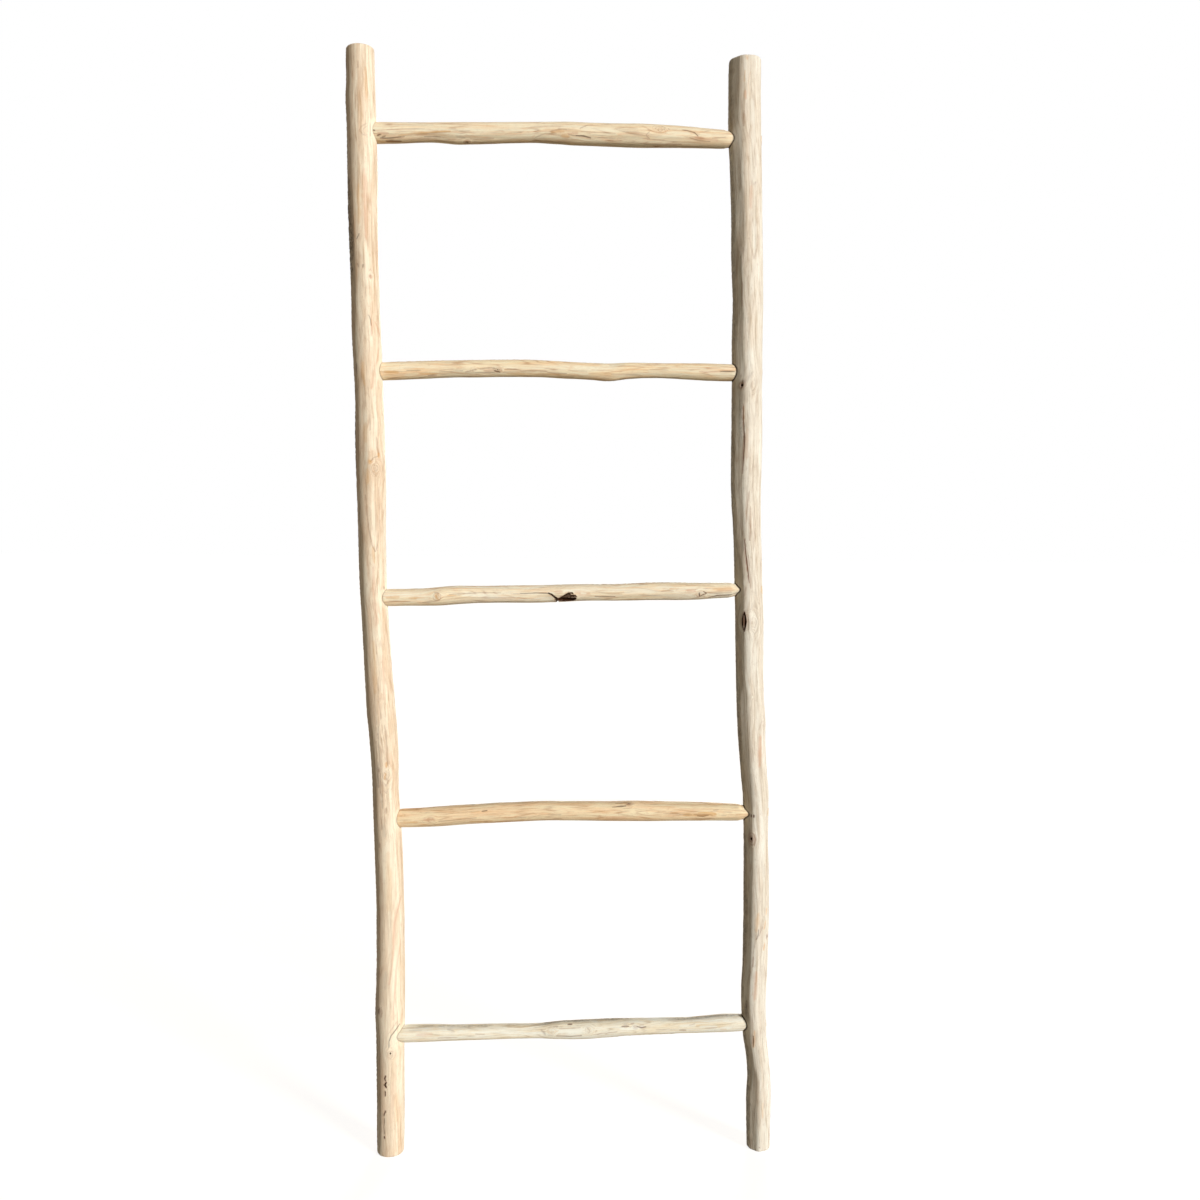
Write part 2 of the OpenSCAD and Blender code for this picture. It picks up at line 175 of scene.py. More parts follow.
# Knots: place, angle, radius, length over width, rise, heart from 0 pale to 1 dark, radius of a hole
KNOTS = {
    "left_rail": [
        (1202, 301, 2.6, 1.3, 0.3, 0.35, 0), (1085, 232, 4, 1.5, 0.3, 0.2, 0),
        (951, 295, 6, 1.3, 0.7, 0.08, 0), (791, 330, 2, 1.5, 0.3, 0.6, 0),
        (538, 284, 7, 1.4, 0.8, 0.12, 0), (544, 254, 3, 1.2, 0.3, 0.4, 0),
        (207, 230, 4, 1.5, 0.6, 0.5, 0), (149, 278, 6, 1.2, 0.5, 0.12, 1),
        (735, 95, 7, 1.4, 0.9, 0.45, 1.2), (1140, 130, 7, 1.3, 0.7, 0.35, 0),
        (350, 60, 5, 1.4, 0.5, 0.3, 0), (1432, 120, 4, 1.5, 0.4, 0.5, 0.8),
    ],
    "right_rail": [
        (1068, 238, 5, 1.3, 0.6, 0.6, 1.6), (1070, 282, 6, 1.7, 0.3, 0.04, 0),
        (750, 240, 7, 1.6, 0.8, 0.4, 0), (748, 279, 9, 1.6, 0.4, 0.02, 0),
        (646, 268, 2.2, 1.2, 0.5, 0, 0), (609, 322, 5, 1.2, 0.9, 0.12, 0),
        (449, 240, 6, 1.5, 0.7, 0.55, 1.4), (310, 321, 2.5, 1.5, 0.4, 0.6, 0),
        (840, 80, 8, 1.4, 1, 0.4, 1.2), (1260, 110, 7, 1.4, 0.7, 0.35, 0),
        (255, 10, 5, 1.4, 0.5, 0.3, 0), (95, 120, 5, 1.3, 0.4, 0.45, 0),
    ],
    "rung_5": [
        (-136, 250, 3.5, 1.3, 0.7, 0.7, 0.6), (119, 160, 5, 1.5, 0.3, 0.08, 0),
        (-20, 30, 5, 1.4, 0.5, 0.4, 0.8),
    ],
    "rung_4": [
        (-94, 197, 4, 1.5, 0.5, 0.35, 0.5), (-127, 200, 3, 1.4, 0.6, 0.1, 0),
        (150, 20, 4, 1.4, 0.4, 0.35, 0),
    ],
    "rung_3": [
        (-174, 178, 5, 1.2, 0.8, 0.15, 0), (183, 197, 5, 1.6, 0.5, 0.2, 0),
        (90, 40, 5, 1.4, 0.5, 0.4, 0.7),
    ],
    "rung_2": [
        (-182, 184, 5, 1.2, 0.3, 0.1, 0), (89, 124, 4, 1.4, 0.6, 0.5, 0.5),
        (-40, 350, 5, 1.4, 0.4, 0.35, 0.7),
    ],
    "rung_1": [
        (-15, 165, 5, 1.2, 0.6, 0.1, 0), (37, 165, 5, 1.2, 0.4, 0.1, 0), (88, 146, 3, 1.3, 0.4, 0.3, 0),
        (102, 160, 3, 1.3, 0.4, 0.3, 0), (-150, 20, 4, 1.4, 0.4, 0.35, 0.6),
    ],
}

# Cracks and hollows: darkness, then points with place, angle, half width and depth
CRACKS = {
    "left_rail": [
        (0.3, [(1151, 290, 0.3, 0.4), (1146, 295, 0.5, 0.6), (1138, 298, 0.3, 0.4)]),
        (0.5, [(1256, 261, 0.3, 0.3), (1253, 257, 0.4, 0.4), (1250, 251, 0.3, 0.3)]),
        (0.5, [(1217, 251, 0.3, 0.3), (1214, 252, 0.4, 0.4)]),
        (0.5, [(1216, 273, 0.4, 0.4), (1213, 272, 0.4, 0.4)]),
        (0.15, [(967, 309, 0.3, 0.3), (964, 288, 0.4, 0.4), (959, 277, 0.3, 0.3)]),
        (0.9, [(117, 257, 0.6, 0.7), (113, 253, 0.9, 0.9), (110, 256, 0.6, 0.6)]),
        (1.0, [(108, 259, 0.7, 0.7), (104, 253, 1.1, 1.1), (101, 258, 0.9, 0.8)]),
        (0.7, [(94, 254, 0.8, 0.6), (89, 254, 0.7, 0.6)]),
        (0.6, [(66, 253, 0.8, 0.7), (61, 247, 0.7, 0.7)]),
        (0.4, [(56, 250, 0.4, 0.4), (44, 246, 0.5, 0.6), (34, 249, 0.4, 0.4)]),
        (0.8, [(30, 250, 0.8, 0.6), (28, 250, 0.7, 0.6)]),
        (0.7, [(640, 150, 0.4, 0.5), (600, 153, 0.8, 1.6), (540, 150, 0.4, 0.4)]),
        (0.6, [(1330, 60, 0.4, 0.5), (1290, 62, 0.7, 1.2), (1255, 60, 0.3, 0.4)]),
    ],
    "right_rail": [
        (0.35, [(1040, 247, 0.3, 0.3), (1022, 246, 0.4, 0.5), (1010, 250, 0.4, 0.5)]),
        (0.6, [
            (1012, 249, 0.3, 0.4), (998, 252, 0.6, 0.8), (984, 251, 0.5, 0.7), (970, 248, 0.3, 0.4),
        ]),
        (0.35, [(970, 248, 0.3, 0.4), (955, 246, 0.3, 0.3)]),
        (0.45, [
            (860, 249, 0.3, 0.3), (840, 253, 0.5, 0.6), (824, 258, 0.5, 0.6), (804, 263, 0.3, 0.3),
        ]),
        (1.0, [
            (762, 242, 0.7, 1.4), (756, 245, 1.2, 2.4), (749, 246, 1.5, 2.8), (742, 244, 1.1, 1.8),
            (736, 240, 0.5, 0.8),
        ]),
        (1.0, [(760, 239, 0.6, 1.0), (753, 235, 1.0, 1.6), (745, 234, 1.0, 1.6), (738, 237, 0.5, 1.0)]),
        (0.4, [(757, 255, 0.3, 0.3), (748, 258, 0.5, 0.5), (738, 257, 0.3, 0.3)]),
        (0.8, [(482, 251, 0.8, 0.6), (480, 251, 0.8, 0.6)]),
        (0.8, [(482, 239, 0.7, 0.6), (480, 239, 0.7, 0.6)]),
        (0.4, [(322, 272, 0.4, 0.3), (314, 270, 0.6, 0.5), (308, 262, 0.4, 0.3)]),
        (0.5, [(169, 250, 0.5, 0.5), (162, 251, 0.8, 0.8), (154, 249, 0.4, 0.5)]),
        (0.7, [(1200, 160, 0.4, 0.5), (1150, 157, 0.8, 1.6), (1090, 160, 0.4, 0.4)]),
        (0.6, [(420, 100, 0.4, 0.5), (380, 98, 0.7, 1.2), (340, 101, 0.3, 0.4)]),
    ],
    "rung_5": [
        (0.5, [(-258, 182, 0.8, 0.7), (-256, 184, 0.7, 0.6)]),
        (0.35, [(-252, 212, 0.6, 0.5), (-248, 206, 0.5, 0.4)]),
        (0.4, [(-249, 226, 0.5, 0.5), (-236, 228, 0.7, 0.8), (-222, 220, 0.4, 0.4)]),
        (0.5, [(8, 208, 0.4, 0.4), (18, 209, 0.7, 0.7), (27, 217, 0.4, 0.4)]),
        (0.4, [(150, 158, 0.3, 0.3), (164, 168, 0.6, 0.5), (169, 188, 0.4, 0.3)]),
    ],
    "rung_4": [
        (0.5, [(-98, 202, 0.6, 0.4), (-92, 212, 0.8, 0.6)]),
        (0.5, [(205, 182, 0.3, 0.4), (214, 180, 0.7, 0.7), (224, 179, 0.4, 0.5)]),
    ],
    "rung_3": [
        (0.5, [(-62, 173, 0.3, 0.3), (-40, 170, 0.4, 0.5), (-24, 174, 0.6, 0.9)]),
        (1.0, [(-24, 174, 0.7, 0.9), (-20, 183, 1.0, 1.8), (-17, 200, 1.2, 2.6), (-13, 218, 1.6, 3.2)]),
        (0.7, [(-14, 224, 1.6, 3.0), (-13, 242, 1.9, 3.4), (-12, 264, 1.9, 3.0), (-11, 290, 1.0, 1.0)]),
        (1.0, [
            (-14, 217, 1.2, 2.6), (-9, 226, 3.0, 4.0), (-4, 232, 4.6, 5.0), (2, 234, 5.0, 5.4),
            (7, 230, 4.4, 4.6), (12, 222, 1.8, 2.0),
        ]),
        (0.86, [
            (-9, 214, 0.8, 1.6), (-2, 204, 2.0, 2.4), (4, 195, 2.5, 2.6), (8, 201, 1.8, 2.0),
            (12, 209, 0.7, 1.2),
        ]),
        (1.0, [
            (-9, 212, 0.5, 1.2), (-2, 191, 0.8, 1.8), (3, 178, 0.9, 1.8), (8, 177, 0.8, 1.4),
            (9, 184, 0.6, 1.0),
        ]),
        (1.0, [(6, 205, 0.6, 1.2), (9, 194, 0.8, 1.4), (12, 196, 0.8, 1.2), (14, 208, 0.5, 1.0)]),
        (0.95, [(181, 189, 0.3, 0.4), (181, 203, 0.5, 0.7), (182, 217, 0.3, 0.4)]),
        (0.75, [
            (182, 216, 0.3, 0.4), (186, 204, 0.5, 0.5), (191, 192, 0.4, 0.4), (187, 182, 0.4, 0.4),
        ]),
        (0.8, [(195, 232, 0.3, 0.3), (206, 220, 0.6, 0.8), (226, 220, 0.4, 0.5)]),
        (0.5, [(39, 208, 0.3, 0.3), (52, 210, 0.6, 0.6), (66, 208, 0.3, 0.3)]),
    ],
    "rung_2": [
        (0.6, [(72, 141, 0.3, 0.3), (78, 139, 0.8, 0.7), (85, 138, 0.4, 0.3)]),
        (0.4, [(183, 193, 0.4, 0.4), (191, 196, 0.7, 0.7), (198, 190, 0.4, 0.4)]),
        (0.5, [(-112, 153, 0.5, 0.4), (-106, 150, 0.5, 0.4)]),
    ],
    "rung_1": [
        (0.5, [(8, 122, 0.7, 0.4), (13, 122, 0.6, 0.4)]),
        (0.5, [(83, 152, 0.4, 0.4), (92, 152, 0.5, 0.4)]),
        (0.5, [(104, 156, 0.4, 0.4), (110, 164, 0.6, 0.5), (116, 160, 0.4, 0.4)]),
        (0.4, [(-8, 200, 0.4, 0.4), (10, 203, 0.6, 0.5), (26, 198, 0.4, 0.4)]),
    ],
}

# Strokes of colour on the skin, by kind: strength, half width in millimetres, then the place and
# the angle of each of their points
STROKES = {
    "left_rail": {
        "rose": [
            (0.6, 3, 1340, 285, 1290, 288, 1250, 290), (1, 2, 1203, 301, 1200, 302),
            (0.9, 1.1, 1146, 300, 1125, 298), (0.9, 1.2, 1143, 316, 1132, 333, 1122, 350),
            (0.6, 1.5, 1110, 330, 1090, 318, 1070, 300, 1055, 290),
            (0.5, 2, 820, 280, 770, 284, 740, 282), (0.6, 1.2, 700, 300, 670, 298, 640, 292),
            (1, 1.5, 367, 333, 346, 308, 329, 295, 310, 291, 287, 288, 265, 279, 246, 272),
            (0.8, 1.3, 307, 326, 285, 312, 265, 302, 245, 297, 224, 293, 196, 288),
            (0.5, 2, 120, 290, 80, 285, 50, 280),
        ],
        "gold": [
            (0.4, 2, 1470, 300, 1430, 302), (0.5, 3, 1320, 265, 1270, 262),
            (0.5, 2.5, 1090, 262, 1060, 262), (0.5, 3, 1010, 262, 985, 262),
            (1, 1.6, 971, 309, 965, 308), (1, 1.8, 961, 277, 957, 275), (0.7, 2.6, 950, 266, 930, 265),
            (0.6, 1.5, 846, 280, 825, 286), (0.5, 2.5, 720, 268, 680, 266, 650, 262),
            (1, 1.9, 555, 284, 548, 284), (0.7, 1.6, 540, 280, 532, 276),
            (0.5, 4, 430, 275, 390, 275, 350, 270), (0.4, 2.5, 90, 300, 50, 302),
        ],
        "grey": [
            (0.8, 2.5, 1090, 232, 1075, 230),
            (0.35, 0.5, 958, 296, 952, 304, 946, 298, 950, 288, 957, 292),
            (0.5, 1.5, 905, 222, 882, 216), (0.5, 1.2, 868, 222, 855, 220),
            (0.7, 1.8, 556, 252, 535, 248, 520, 246), (0.7, 1.6, 512, 262, 492, 262),
            (0.5, 2.6, 470, 268, 452, 268), (0.5, 3, 264, 259, 240, 258),
        ],
        "pale": [
            (0.4, 14, 440, 285, 20, 280), (0.6, 4, 1210, 285, 1195, 280),
            (0.5, 3.5, 1145, 282, 1134, 272, 1122, 282), (0.7, 2, 1108, 345, 1085, 330, 1068, 318),
            (0.6, 3, 995, 285, 975, 288), (0.8, 4, 905, 282, 870, 286, 850, 290),
            (0.6, 2, 690, 288, 650, 286), (0.9, 1.4, 614, 277, 604, 268, 595, 258),
            (0.8, 1, 600, 284, 590, 276), (0.8, 1, 547, 300, 538, 304), (0.5, 4, 420, 300, 380, 305),
            (0.8, 2.2, 372, 318, 345, 292, 320, 281, 290, 274), (0.7, 2, 300, 303, 275, 295, 250, 287),
            (0.7, 2, 170, 256, 150, 252),
        ],
        "brown": [
            (0.35, 0.6, 1399, 306, 1393, 280, 1388, 274, 1384, 284, 1381, 304),
            (0.3, 0.5, 1396, 307, 1391, 290, 1388, 286, 1385, 292, 1383, 305),
            (0.4, 0.7, 1477, 269, 1468, 270), (0.4, 0.6, 1209, 296, 1211, 303, 1206, 311),
            (0.22, 0.7, 1147, 276, 1134, 262, 1120, 272), (0.4, 0.6, 1017, 281, 1001, 280),
            (0.5, 0.7, 992, 303, 975, 307, 967, 309), (0.3, 0.7, 967, 309, 964, 288, 959, 277),
            (0.35, 0.6, 946, 285, 940, 297, 946, 308),
            (0.45, 0.7, 925, 308, 896, 309, 870, 308, 856, 304, 846, 298, 840, 291),
            (0.55, 0.8, 915, 256, 890, 260, 869, 267, 849, 278, 840, 290),
            (0.3, 0.6, 905, 292, 880, 294, 860, 291), (0.3, 0.6, 900, 272, 880, 277, 862, 283),
            (0.4, 0.6, 610, 270, 600, 263, 592, 256), (0.5, 0.6, 605, 288, 575, 292, 551, 290),
            (0.5, 0.6, 546, 292, 538, 296, 531, 288, 534, 276),
            (0.45, 0.6, 530, 292, 523, 281, 528, 268), (0.35, 0.5, 518, 290, 512, 280, 516, 270),
            (0.4, 0.6, 604, 262, 575, 257, 545, 262, 512, 255),
            (0.4, 0.6, 590, 271, 560, 266, 530, 268, 500, 263),
            (0.35, 0.6, 584, 250, 552, 245, 520, 250), (0.35, 0.6, 672, 278, 640, 272, 612, 276),
            (0.35, 0.6, 660, 262, 632, 256, 606, 258), (0.5, 1.2, 492, 278, 485, 278),
            (0.4, 0.8, 480, 262, 462, 258), (0.6, 0.8, 443, 243, 437, 240),
            (0.6, 0.7, 214, 240, 206, 244, 199, 238), (0.3, 0.6, 192, 306, 184, 286, 176, 268),
            (0.3, 0.5, 158, 280, 152, 290, 144, 286, 141, 276, 147, 266, 156, 270),
            (0.5, 0.5, 112, 268, 111, 268), (0.4, 0.5, 105, 271, 104, 270),
            (0.4, 0.5, 99, 266, 98, 266), (0.4, 0.5, 108, 263, 107, 263),
        ],
        "dark": [
            (0.45, 0.5, 1402, 316, 1382, 314), (0.5, 0.8, 212, 233, 203, 226),
            (0.75, 0.7, 188, 322, 180, 298, 174, 281, 166, 273, 157, 273),
        ],
    },
    "right_rail": {
        "rose": [
            (0.8, 1.6, 1452, 262, 1441, 265), (0.5, 2, 1330, 280, 1300, 278),
            (0.4, 2, 1010, 262, 970, 262), (0.7, 3, 592, 302, 570, 296, 550, 290),
            (0.6, 3, 262, 266, 240, 265, 222, 263),
        ],
        "gold": [
            (0.7, 1.8, 1498, 266, 1493, 270), (0.14, 16, 1490, 270, 1120, 270),
            (0.6, 1.2, 1478, 262, 1463, 258), (0.4, 1.6, 1476, 282, 1460, 274, 1445, 278),
            (0.7, 0.9, 1040, 248, 1016, 248), (0.9, 1.1, 351, 315, 341, 311),
            (0.8, 1, 333, 308, 322, 300), (0.9, 0.9, 301, 306, 292, 300), (0.5, 3, 345, 270, 320, 262),
            (0.8, 2.4, 177, 256, 164, 254, 153, 249), (0.5, 1.6, 72, 281, 50, 281),
        ],
        "grey": [
            (0.4, 1.5, 1158, 262, 1150, 262),
            (0.6, 0.7, 1079, 284, 1073, 293, 1064, 293, 1060, 281, 1066, 272, 1076, 274),
            (0.6, 2.2, 1086, 274, 1078, 258, 1071, 247), (0.5, 3, 1062, 250, 1045, 244),
            (0.6, 0.6, 765, 281, 758, 294, 748, 301, 738, 296, 732, 283, 738, 270, 750, 263, 762, 270),
            (0.4, 0.5, 757, 284, 750, 292, 742, 286, 743, 276, 752, 273, 757, 280),
            (0.6, 0.7, 775, 276, 765, 266, 757, 256), (0.5, 0.7, 722, 273, 733, 262, 740, 254),
            (0.5, 2, 766, 248, 760, 243), (0.5, 2, 738, 244, 730, 240), (0.5, 2, 540, 250, 510, 248),
            (0.6, 3, 462, 232, 436, 230), (0.9, 5, 218, 226, 202, 220, 188, 218),
            (0.6, 2, 172, 244, 158, 244),
        ],
        "pale": [
            (0.6, 3, 1440, 290, 1410, 286), (0.8, 3, 1285, 292, 1262, 290, 1248, 287),
            (0.6, 2.5, 1050, 280, 1020, 285, 990, 282), (0.9, 1.5, 850, 290, 820, 285),
            (1, 0.8, 806, 243, 799, 244), (1, 1.5, 647, 269, 645, 268), (0.8, 1.3, 614, 318, 606, 311),
            (0.6, 2, 130, 300, 105, 300),
        ],
        "brown": [
            (0.5, 0.9, 1426, 257, 1416, 256, 1406, 255),
            (0.3, 0.8, 1268, 312, 1253, 303, 1240, 292, 1235, 287, 1247, 278, 1262, 270),
            (0.25, 0.7, 1290, 305, 1278, 297), (0.5, 0.8, 1205, 241, 1190, 237, 1172, 238),
            (0.4, 0.8, 1250, 246, 1225, 243),
            (0.8, 1.1, 1044, 246, 1022, 246, 1000, 251, 972, 248, 950, 246),
            (0.5, 0.9, 925, 272, 900, 262, 883, 256), (0.6, 0.8, 905, 278, 880, 276, 860, 270),
            (0.3, 0.7, 900, 292, 870, 290, 845, 284),
            (0.9, 1.1, 862, 249, 842, 252, 824, 258, 802, 264), (0.9, 1.7, 754, 241, 744, 240),
            (0.5, 0.7, 840, 262, 815, 268, 795, 270), (0.5, 0.7, 796, 250, 784, 243),
            (0.4, 0.7, 613, 312, 605, 300, 600, 294), (0.3, 0.6, 620, 322, 612, 330),
            (0.6, 1.3, 457, 251, 449, 257, 440, 254), (0.45, 0.7, 325, 292, 318, 280, 311, 272),
            (0.6, 0.8, 283, 252, 269, 250), (0.35, 0.7, 75, 292, 64, 288), (0.7, 0.8, 8, 267, 6, 267),
        ],
        "dark": [
            (0.6, 1.6, 1074, 240, 1064, 238), (0.7, 0.8, 311, 323, 309, 322),
            (0.3, 2, 212, 222, 195, 220),
        ],
    },
    "rung_5": {
        "rose": [
            (0.8, 1.6, -252, 195, -238, 199), (0.8, 1.3, -3, 198, 10, 195),
            (0.6, 1.5, 165, 196, 180, 204, 196, 204),
        ],
        "gold": [
            (0.8, 2, -225, 212, -200, 203, -175, 195, -157, 187), (0.8, 2.3, -11, 213, -1, 213),
            (0.6, 1.8, -25, 196, -8, 190),
        ],
        "grey": [
            (0.4, 2, -230, 150, -180, 148), (0.5, 1.5, -150, 212, -138, 224),
        ],
        "pale": [
            (0.9, 1.3, -139, 171, -127, 170), (1, 2.4, 16, 178, 45, 175, 64, 181),
            (0.9, 1.5, 28, 197, 52, 196, 62, 196), (1, 2.4, 128, 178, 148, 176, 158, 178),
            (0.8, 1.6, 122, 196, 150, 196), (1, 1.8, 172, 176, 187, 178), (0.5, 3, 110, 150, 170, 150),
            (0.5, 3, 70, 200, 95, 215),
        ],
        "brown": [
            (0.8, 1.1, -253, 213, -249, 204), (0.7, 1, -247, 222, -242, 214),
            (0.7, 0.8, -249, 230, -235, 226, -217, 220), (0.9, 1.8, -242, 246, -222, 247),
            (0.4, 0.8, -225, 217, -190, 207, -157, 191), (0.6, 0.7, -192, 224, -170, 224),
            (0.3, 0.7, -240, 180, -215, 176, -190, 178), (0.4, 0.7, -146, 187, -131, 185),
            (0.5, 0.8, -132, 232, -100, 232), (0.4, 0.8, -46, 228, -38, 212, -32, 202, -18, 200),
            (0.4, 0.7, -16, 175, -4, 178), (0.7, 0.7, -2, 204, 8, 208, 18, 209, 27, 217),
            (0.6, 0.7, 13, 170, 22, 150, 30, 141), (0.5, 0.6, 14, 187, 40, 188, 60, 190),
            (0.35, 0.6, 36, 216, 60, 214), (0.4, 0.7, 60, 168, 74, 184, 88, 195, 100, 198),
            (0.5, 0.7, 121, 137, 126, 150, 124, 162, 116, 166), (0.35, 0.6, 129, 150, 132, 163),
            (0.45, 0.7, 105, 178, 100, 196, 105, 213),
            (0.6, 0.7, 148, 157, 160, 164, 166, 176, 169, 188),
            (0.6, 0.7, 158, 200, 170, 212, 186, 215), (0.5, 0.8, 188, 196, 199, 190, 207, 184),
            (0.5, 1, 98, 240, 125, 240, 148, 237), (0.5, 1, -50, 250, 0, 252),
        ],
    },
    "rung_4": {
        "rose": [
            (0.6, 2.3, -112, 200, -100, 198), (0.6, 1.2, 176, 186, 205, 184),
        ],
        "gold": [
            (0.7, 2.3, -244, 190, -226, 198), (0.7, 1.2, -198, 210, -184, 214, -174, 220),
            (0.6, 1.5, -82, 225, -58, 228), (0.5, 1.5, -40, 220, -10, 224), (0.5, 2, 28, 205, 58, 204),
            (0.5, 1.4, 222, 160, 228, 164),
        ],
        "grey": [
            (0.5, 2, 56, 132, 76, 136),
        ],
        "pale": [
            (0.5, 2, -190, 178, -150, 178), (1, 1.1, -133, 203, -128, 210),
            (0.9, 0.9, -126, 197, -124, 207), (1, 1, -88, 190, -86, 204),
            (0.8, 1.5, 108, 190, 150, 186, 176, 190), (0.7, 1.4, 190, 198, 215, 196),
        ],
        "brown": [
            (0.5, 0.7, -215, 188, -196, 190), (0.7, 0.9, -187, 228, -175, 230),
            (0.5, 0.7, -172, 206, -157, 203, -140, 200), (0.6, 0.8, -137, 209, -128, 200, -122, 192),
            (0.5, 0.7, -128, 195, -112, 184, -98, 182), (0.5, 0.7, -124, 214, -110, 214, -98, 217),
            (0.8, 1.1, -98, 203, -92, 213), (0.6, 0.7, -101, 186, -94, 192),
            (0.6, 0.8, -82, 192, -70, 196, -62, 204), (0.5, 1, -64, 206, -50, 202, -38, 203, -28, 206),
            (0.5, 1.2, -28, 212, -15, 214, -2, 213), (0.5, 0.8, -14, 236, 8, 240),
            (0.4, 0.7, 58, 204, 80, 210, 98, 222), (0.6, 0.8, 118, 262, 140, 250, 152, 236),
            (0.4, 0.6, 110, 178, 135, 182), (0.35, 0.6, 0, 190, 25, 188),
        ],
        "dark": [
            (0.5, 0.8, 70, 246, 77, 250),
        ],
    },
    "rung_3": {
        "rose": [
            (0.6, 2.3, -15, 165, -6, 168), (0.5, 3, 12, 172, 32, 190), (0.7, 2, 164, 170, 176, 178),
            (0.5, 2, 206, 176, 228, 178),
        ],
        "gold": [
            (0.7, 2, -242, 176, -225, 176), (0.6, 1.2, -212, 182, -190, 185),
            (0.9, 1.5, -175, 165, -175, 182, -172, 196), (0.8, 1.1, -160, 176, -148, 180),
            (0.6, 1.8, 200, 165, 226, 165),
        ],
        "pale": [
            (0.9, 1.4, -201, 190, -186, 190), (0.9, 1.5, -140, 182, -110, 180, -88, 180),
            (1, 1.2, -3, 158, 8, 160), (1, 0.8, 2, 190, 4, 188), (1, 0.6, 8, 201, 9, 200),
            (0.9, 0.7, -26, 168, -19, 174, -13, 190), (1, 1.3, 20, 180, 27, 184),
            (0.7, 2, 80, 178, 120, 180), (1, 0.8, 133, 164, 140, 160), (1, 0.8, 141, 175, 148, 172),
            (1, 1.3, 192, 198, 205, 202), (0.9, 1.2, 200, 208, 228, 210),
        ],
        "brown": [
            (0.4, 0.7, -238, 200, -210, 206), (0.5, 0.7, -178, 150, -172, 160, -174, 172),
            (0.5, 1, -194, 214, -178, 206, -170, 200),
            (0.6, 0.7, -158, 170, -140, 170, -116, 166, -88, 168), (0.5, 0.6, -72, 176, -40, 171),
            (0.35, 0.7, -150, 196, -110, 198, -70, 200), (0.6, 1.6, -8, 200, 2, 190, 12, 196),
            (0.5, 0.7, 39, 208, 52, 210, 66, 208), (0.4, 0.7, 44, 176, 60, 186, 76, 190),
            (0.45, 0.7, 129, 178, 138, 172, 146, 176), (0.4, 0.7, 98, 200, 115, 206, 130, 204),
            (0.6, 0.7, 191, 186, 205, 192, 226, 194), (0.6, 0.7, 170, 240, 182, 220),
            (0.7, 0.8, 194, 234, 206, 222, 232, 219), (0.6, 0.7, 190, 189, 201, 200, 214, 206),
            (0.4, 0.7, 163, 133, 180, 137, 202, 142),
        ],
        "dark": [
            (0.8, 1.3, -6, 242, 3, 246, 10, 240),
        ],
    },
    "rung_2": {
        "rose": [
            (0.7, 2.8, -192, 181, -178, 184), (0.6, 2, 58, 210, 86, 212),
        ],
        "gold": [
            (0.6, 2, -220, 190, -200, 195), (0.8, 1.4, -130, 218, -98, 222),
            (1, 1.5, 172, 190, 186, 188, 197, 182, 207, 180), (1, 1.3, 184, 176, 198, 172, 209, 177),
            (1, 2.4, 164, 190, 190, 188, 209, 184),
        ],
        "grey": [
            (0.8, 1.5, 86, 128, 97, 126), (0.5, 0.6, 216, 188, 223, 190),
            (0.5, 0.6, 219, 165, 229, 166),
        ],
        "pale": [
            (0.9, 1.1, -183, 196, -177, 200), (0.6, 1.5, -152, 178, -125, 176),
            (0.7, 1.8, 18, 185, 52, 182), (1, 2.4, 91, 172, 98, 172), (1, 1.2, 214, 178, 218, 182),
            (0.9, 1.1, 222, 172, 226, 178), (0.9, 1.3, 232, 174, 236, 182), (1, 1, 210, 190, 214, 200),
        ],
        "brown": [
            (0.5, 0.7, -172, 198, -150, 194, -120, 190), (0.6, 0.8, -113, 153, -105, 150),
            (0.45, 0.7, -68, 204, -52, 205), (0.6, 0.8, -82, 240, -50, 238, -26, 234),
            (0.6, 0.8, -32, 222, -18, 226, -4, 220), (0.4, 0.7, -22, 186, -4, 190),
            (0.7, 0.9, 66, 143, 76, 140, 85, 138), (0.7, 1, 70, 118, 88, 116),
            (0.4, 0.7, 20, 236, 62, 238), (0.55, 0.7, 183, 193, 191, 196, 199, 189),
            (0.5, 0.7, 158, 186, 176, 188), (0.6, 0.7, 180, 207, 195, 214, 207, 213),
            (0.5, 0.8, 205, 158, 213, 154), (0.45, 0.7, 136, 180, 160, 184),
            (0.6, 0.9, 178, 186, 192, 184, 204, 188),
        ],
    },
    "rung_1": {
        "rose": [
            (0.5, 2.6, -202, 170, -180, 165),
        ],
        "gold": [
            (0.6, 0.9, 220, 198, 229, 200),
        ],
        "grey": [
            (0.5, 1.8, -203, 118, -150, 112, -105, 112), (0.4, 1.2, -212, 140, -195, 138),
            (0.6, 1.6, -160, 130, -150, 150), (0.8, 1.8, -30, 150, -26, 170, -24, 190),
            (0.5, 1, -21, 190, -14, 198), (0.6, 0.7, 34, 148, 38, 166, 36, 184),
            (0.6, 2.2, -27, 92, 0, 88, 30, 92, 60, 92, 92, 92),
            (0.5, 2, 148, 112, 180, 105, 215, 100, 242, 105),
        ],
        "pale": [
            (0.9, 1.1, -171, 185, -145, 184), (0.9, 1.5, -126, 158, -100, 160),
            (1, 1, -14, 150, -10, 165), (1, 2.4, -5, 166, 15, 168, 27, 168),
            (1, 2, 80, 166, 100, 170, 112, 160), (0.9, 1.5, 164, 160, 186, 162),
            (1, 1.8, 192, 175, 216, 178),
        ],
        "brown": [
            (0.45, 0.8, -173, 196, -146, 196), (0.5, 0.8, -121, 172, -108, 176),
            (0.5, 0.6, -13, 132, -6, 130), (0.5, 0.6, -5, 148, 12, 148, 25, 146),
            (0.6, 0.7, -9, 200, 10, 203, 27, 198), (0.7, 1, 8, 122, 13, 122),
            (0.45, 0.7, 42, 196, 60, 190, 76, 184), (0.6, 0.7, 82, 152, 93, 152),
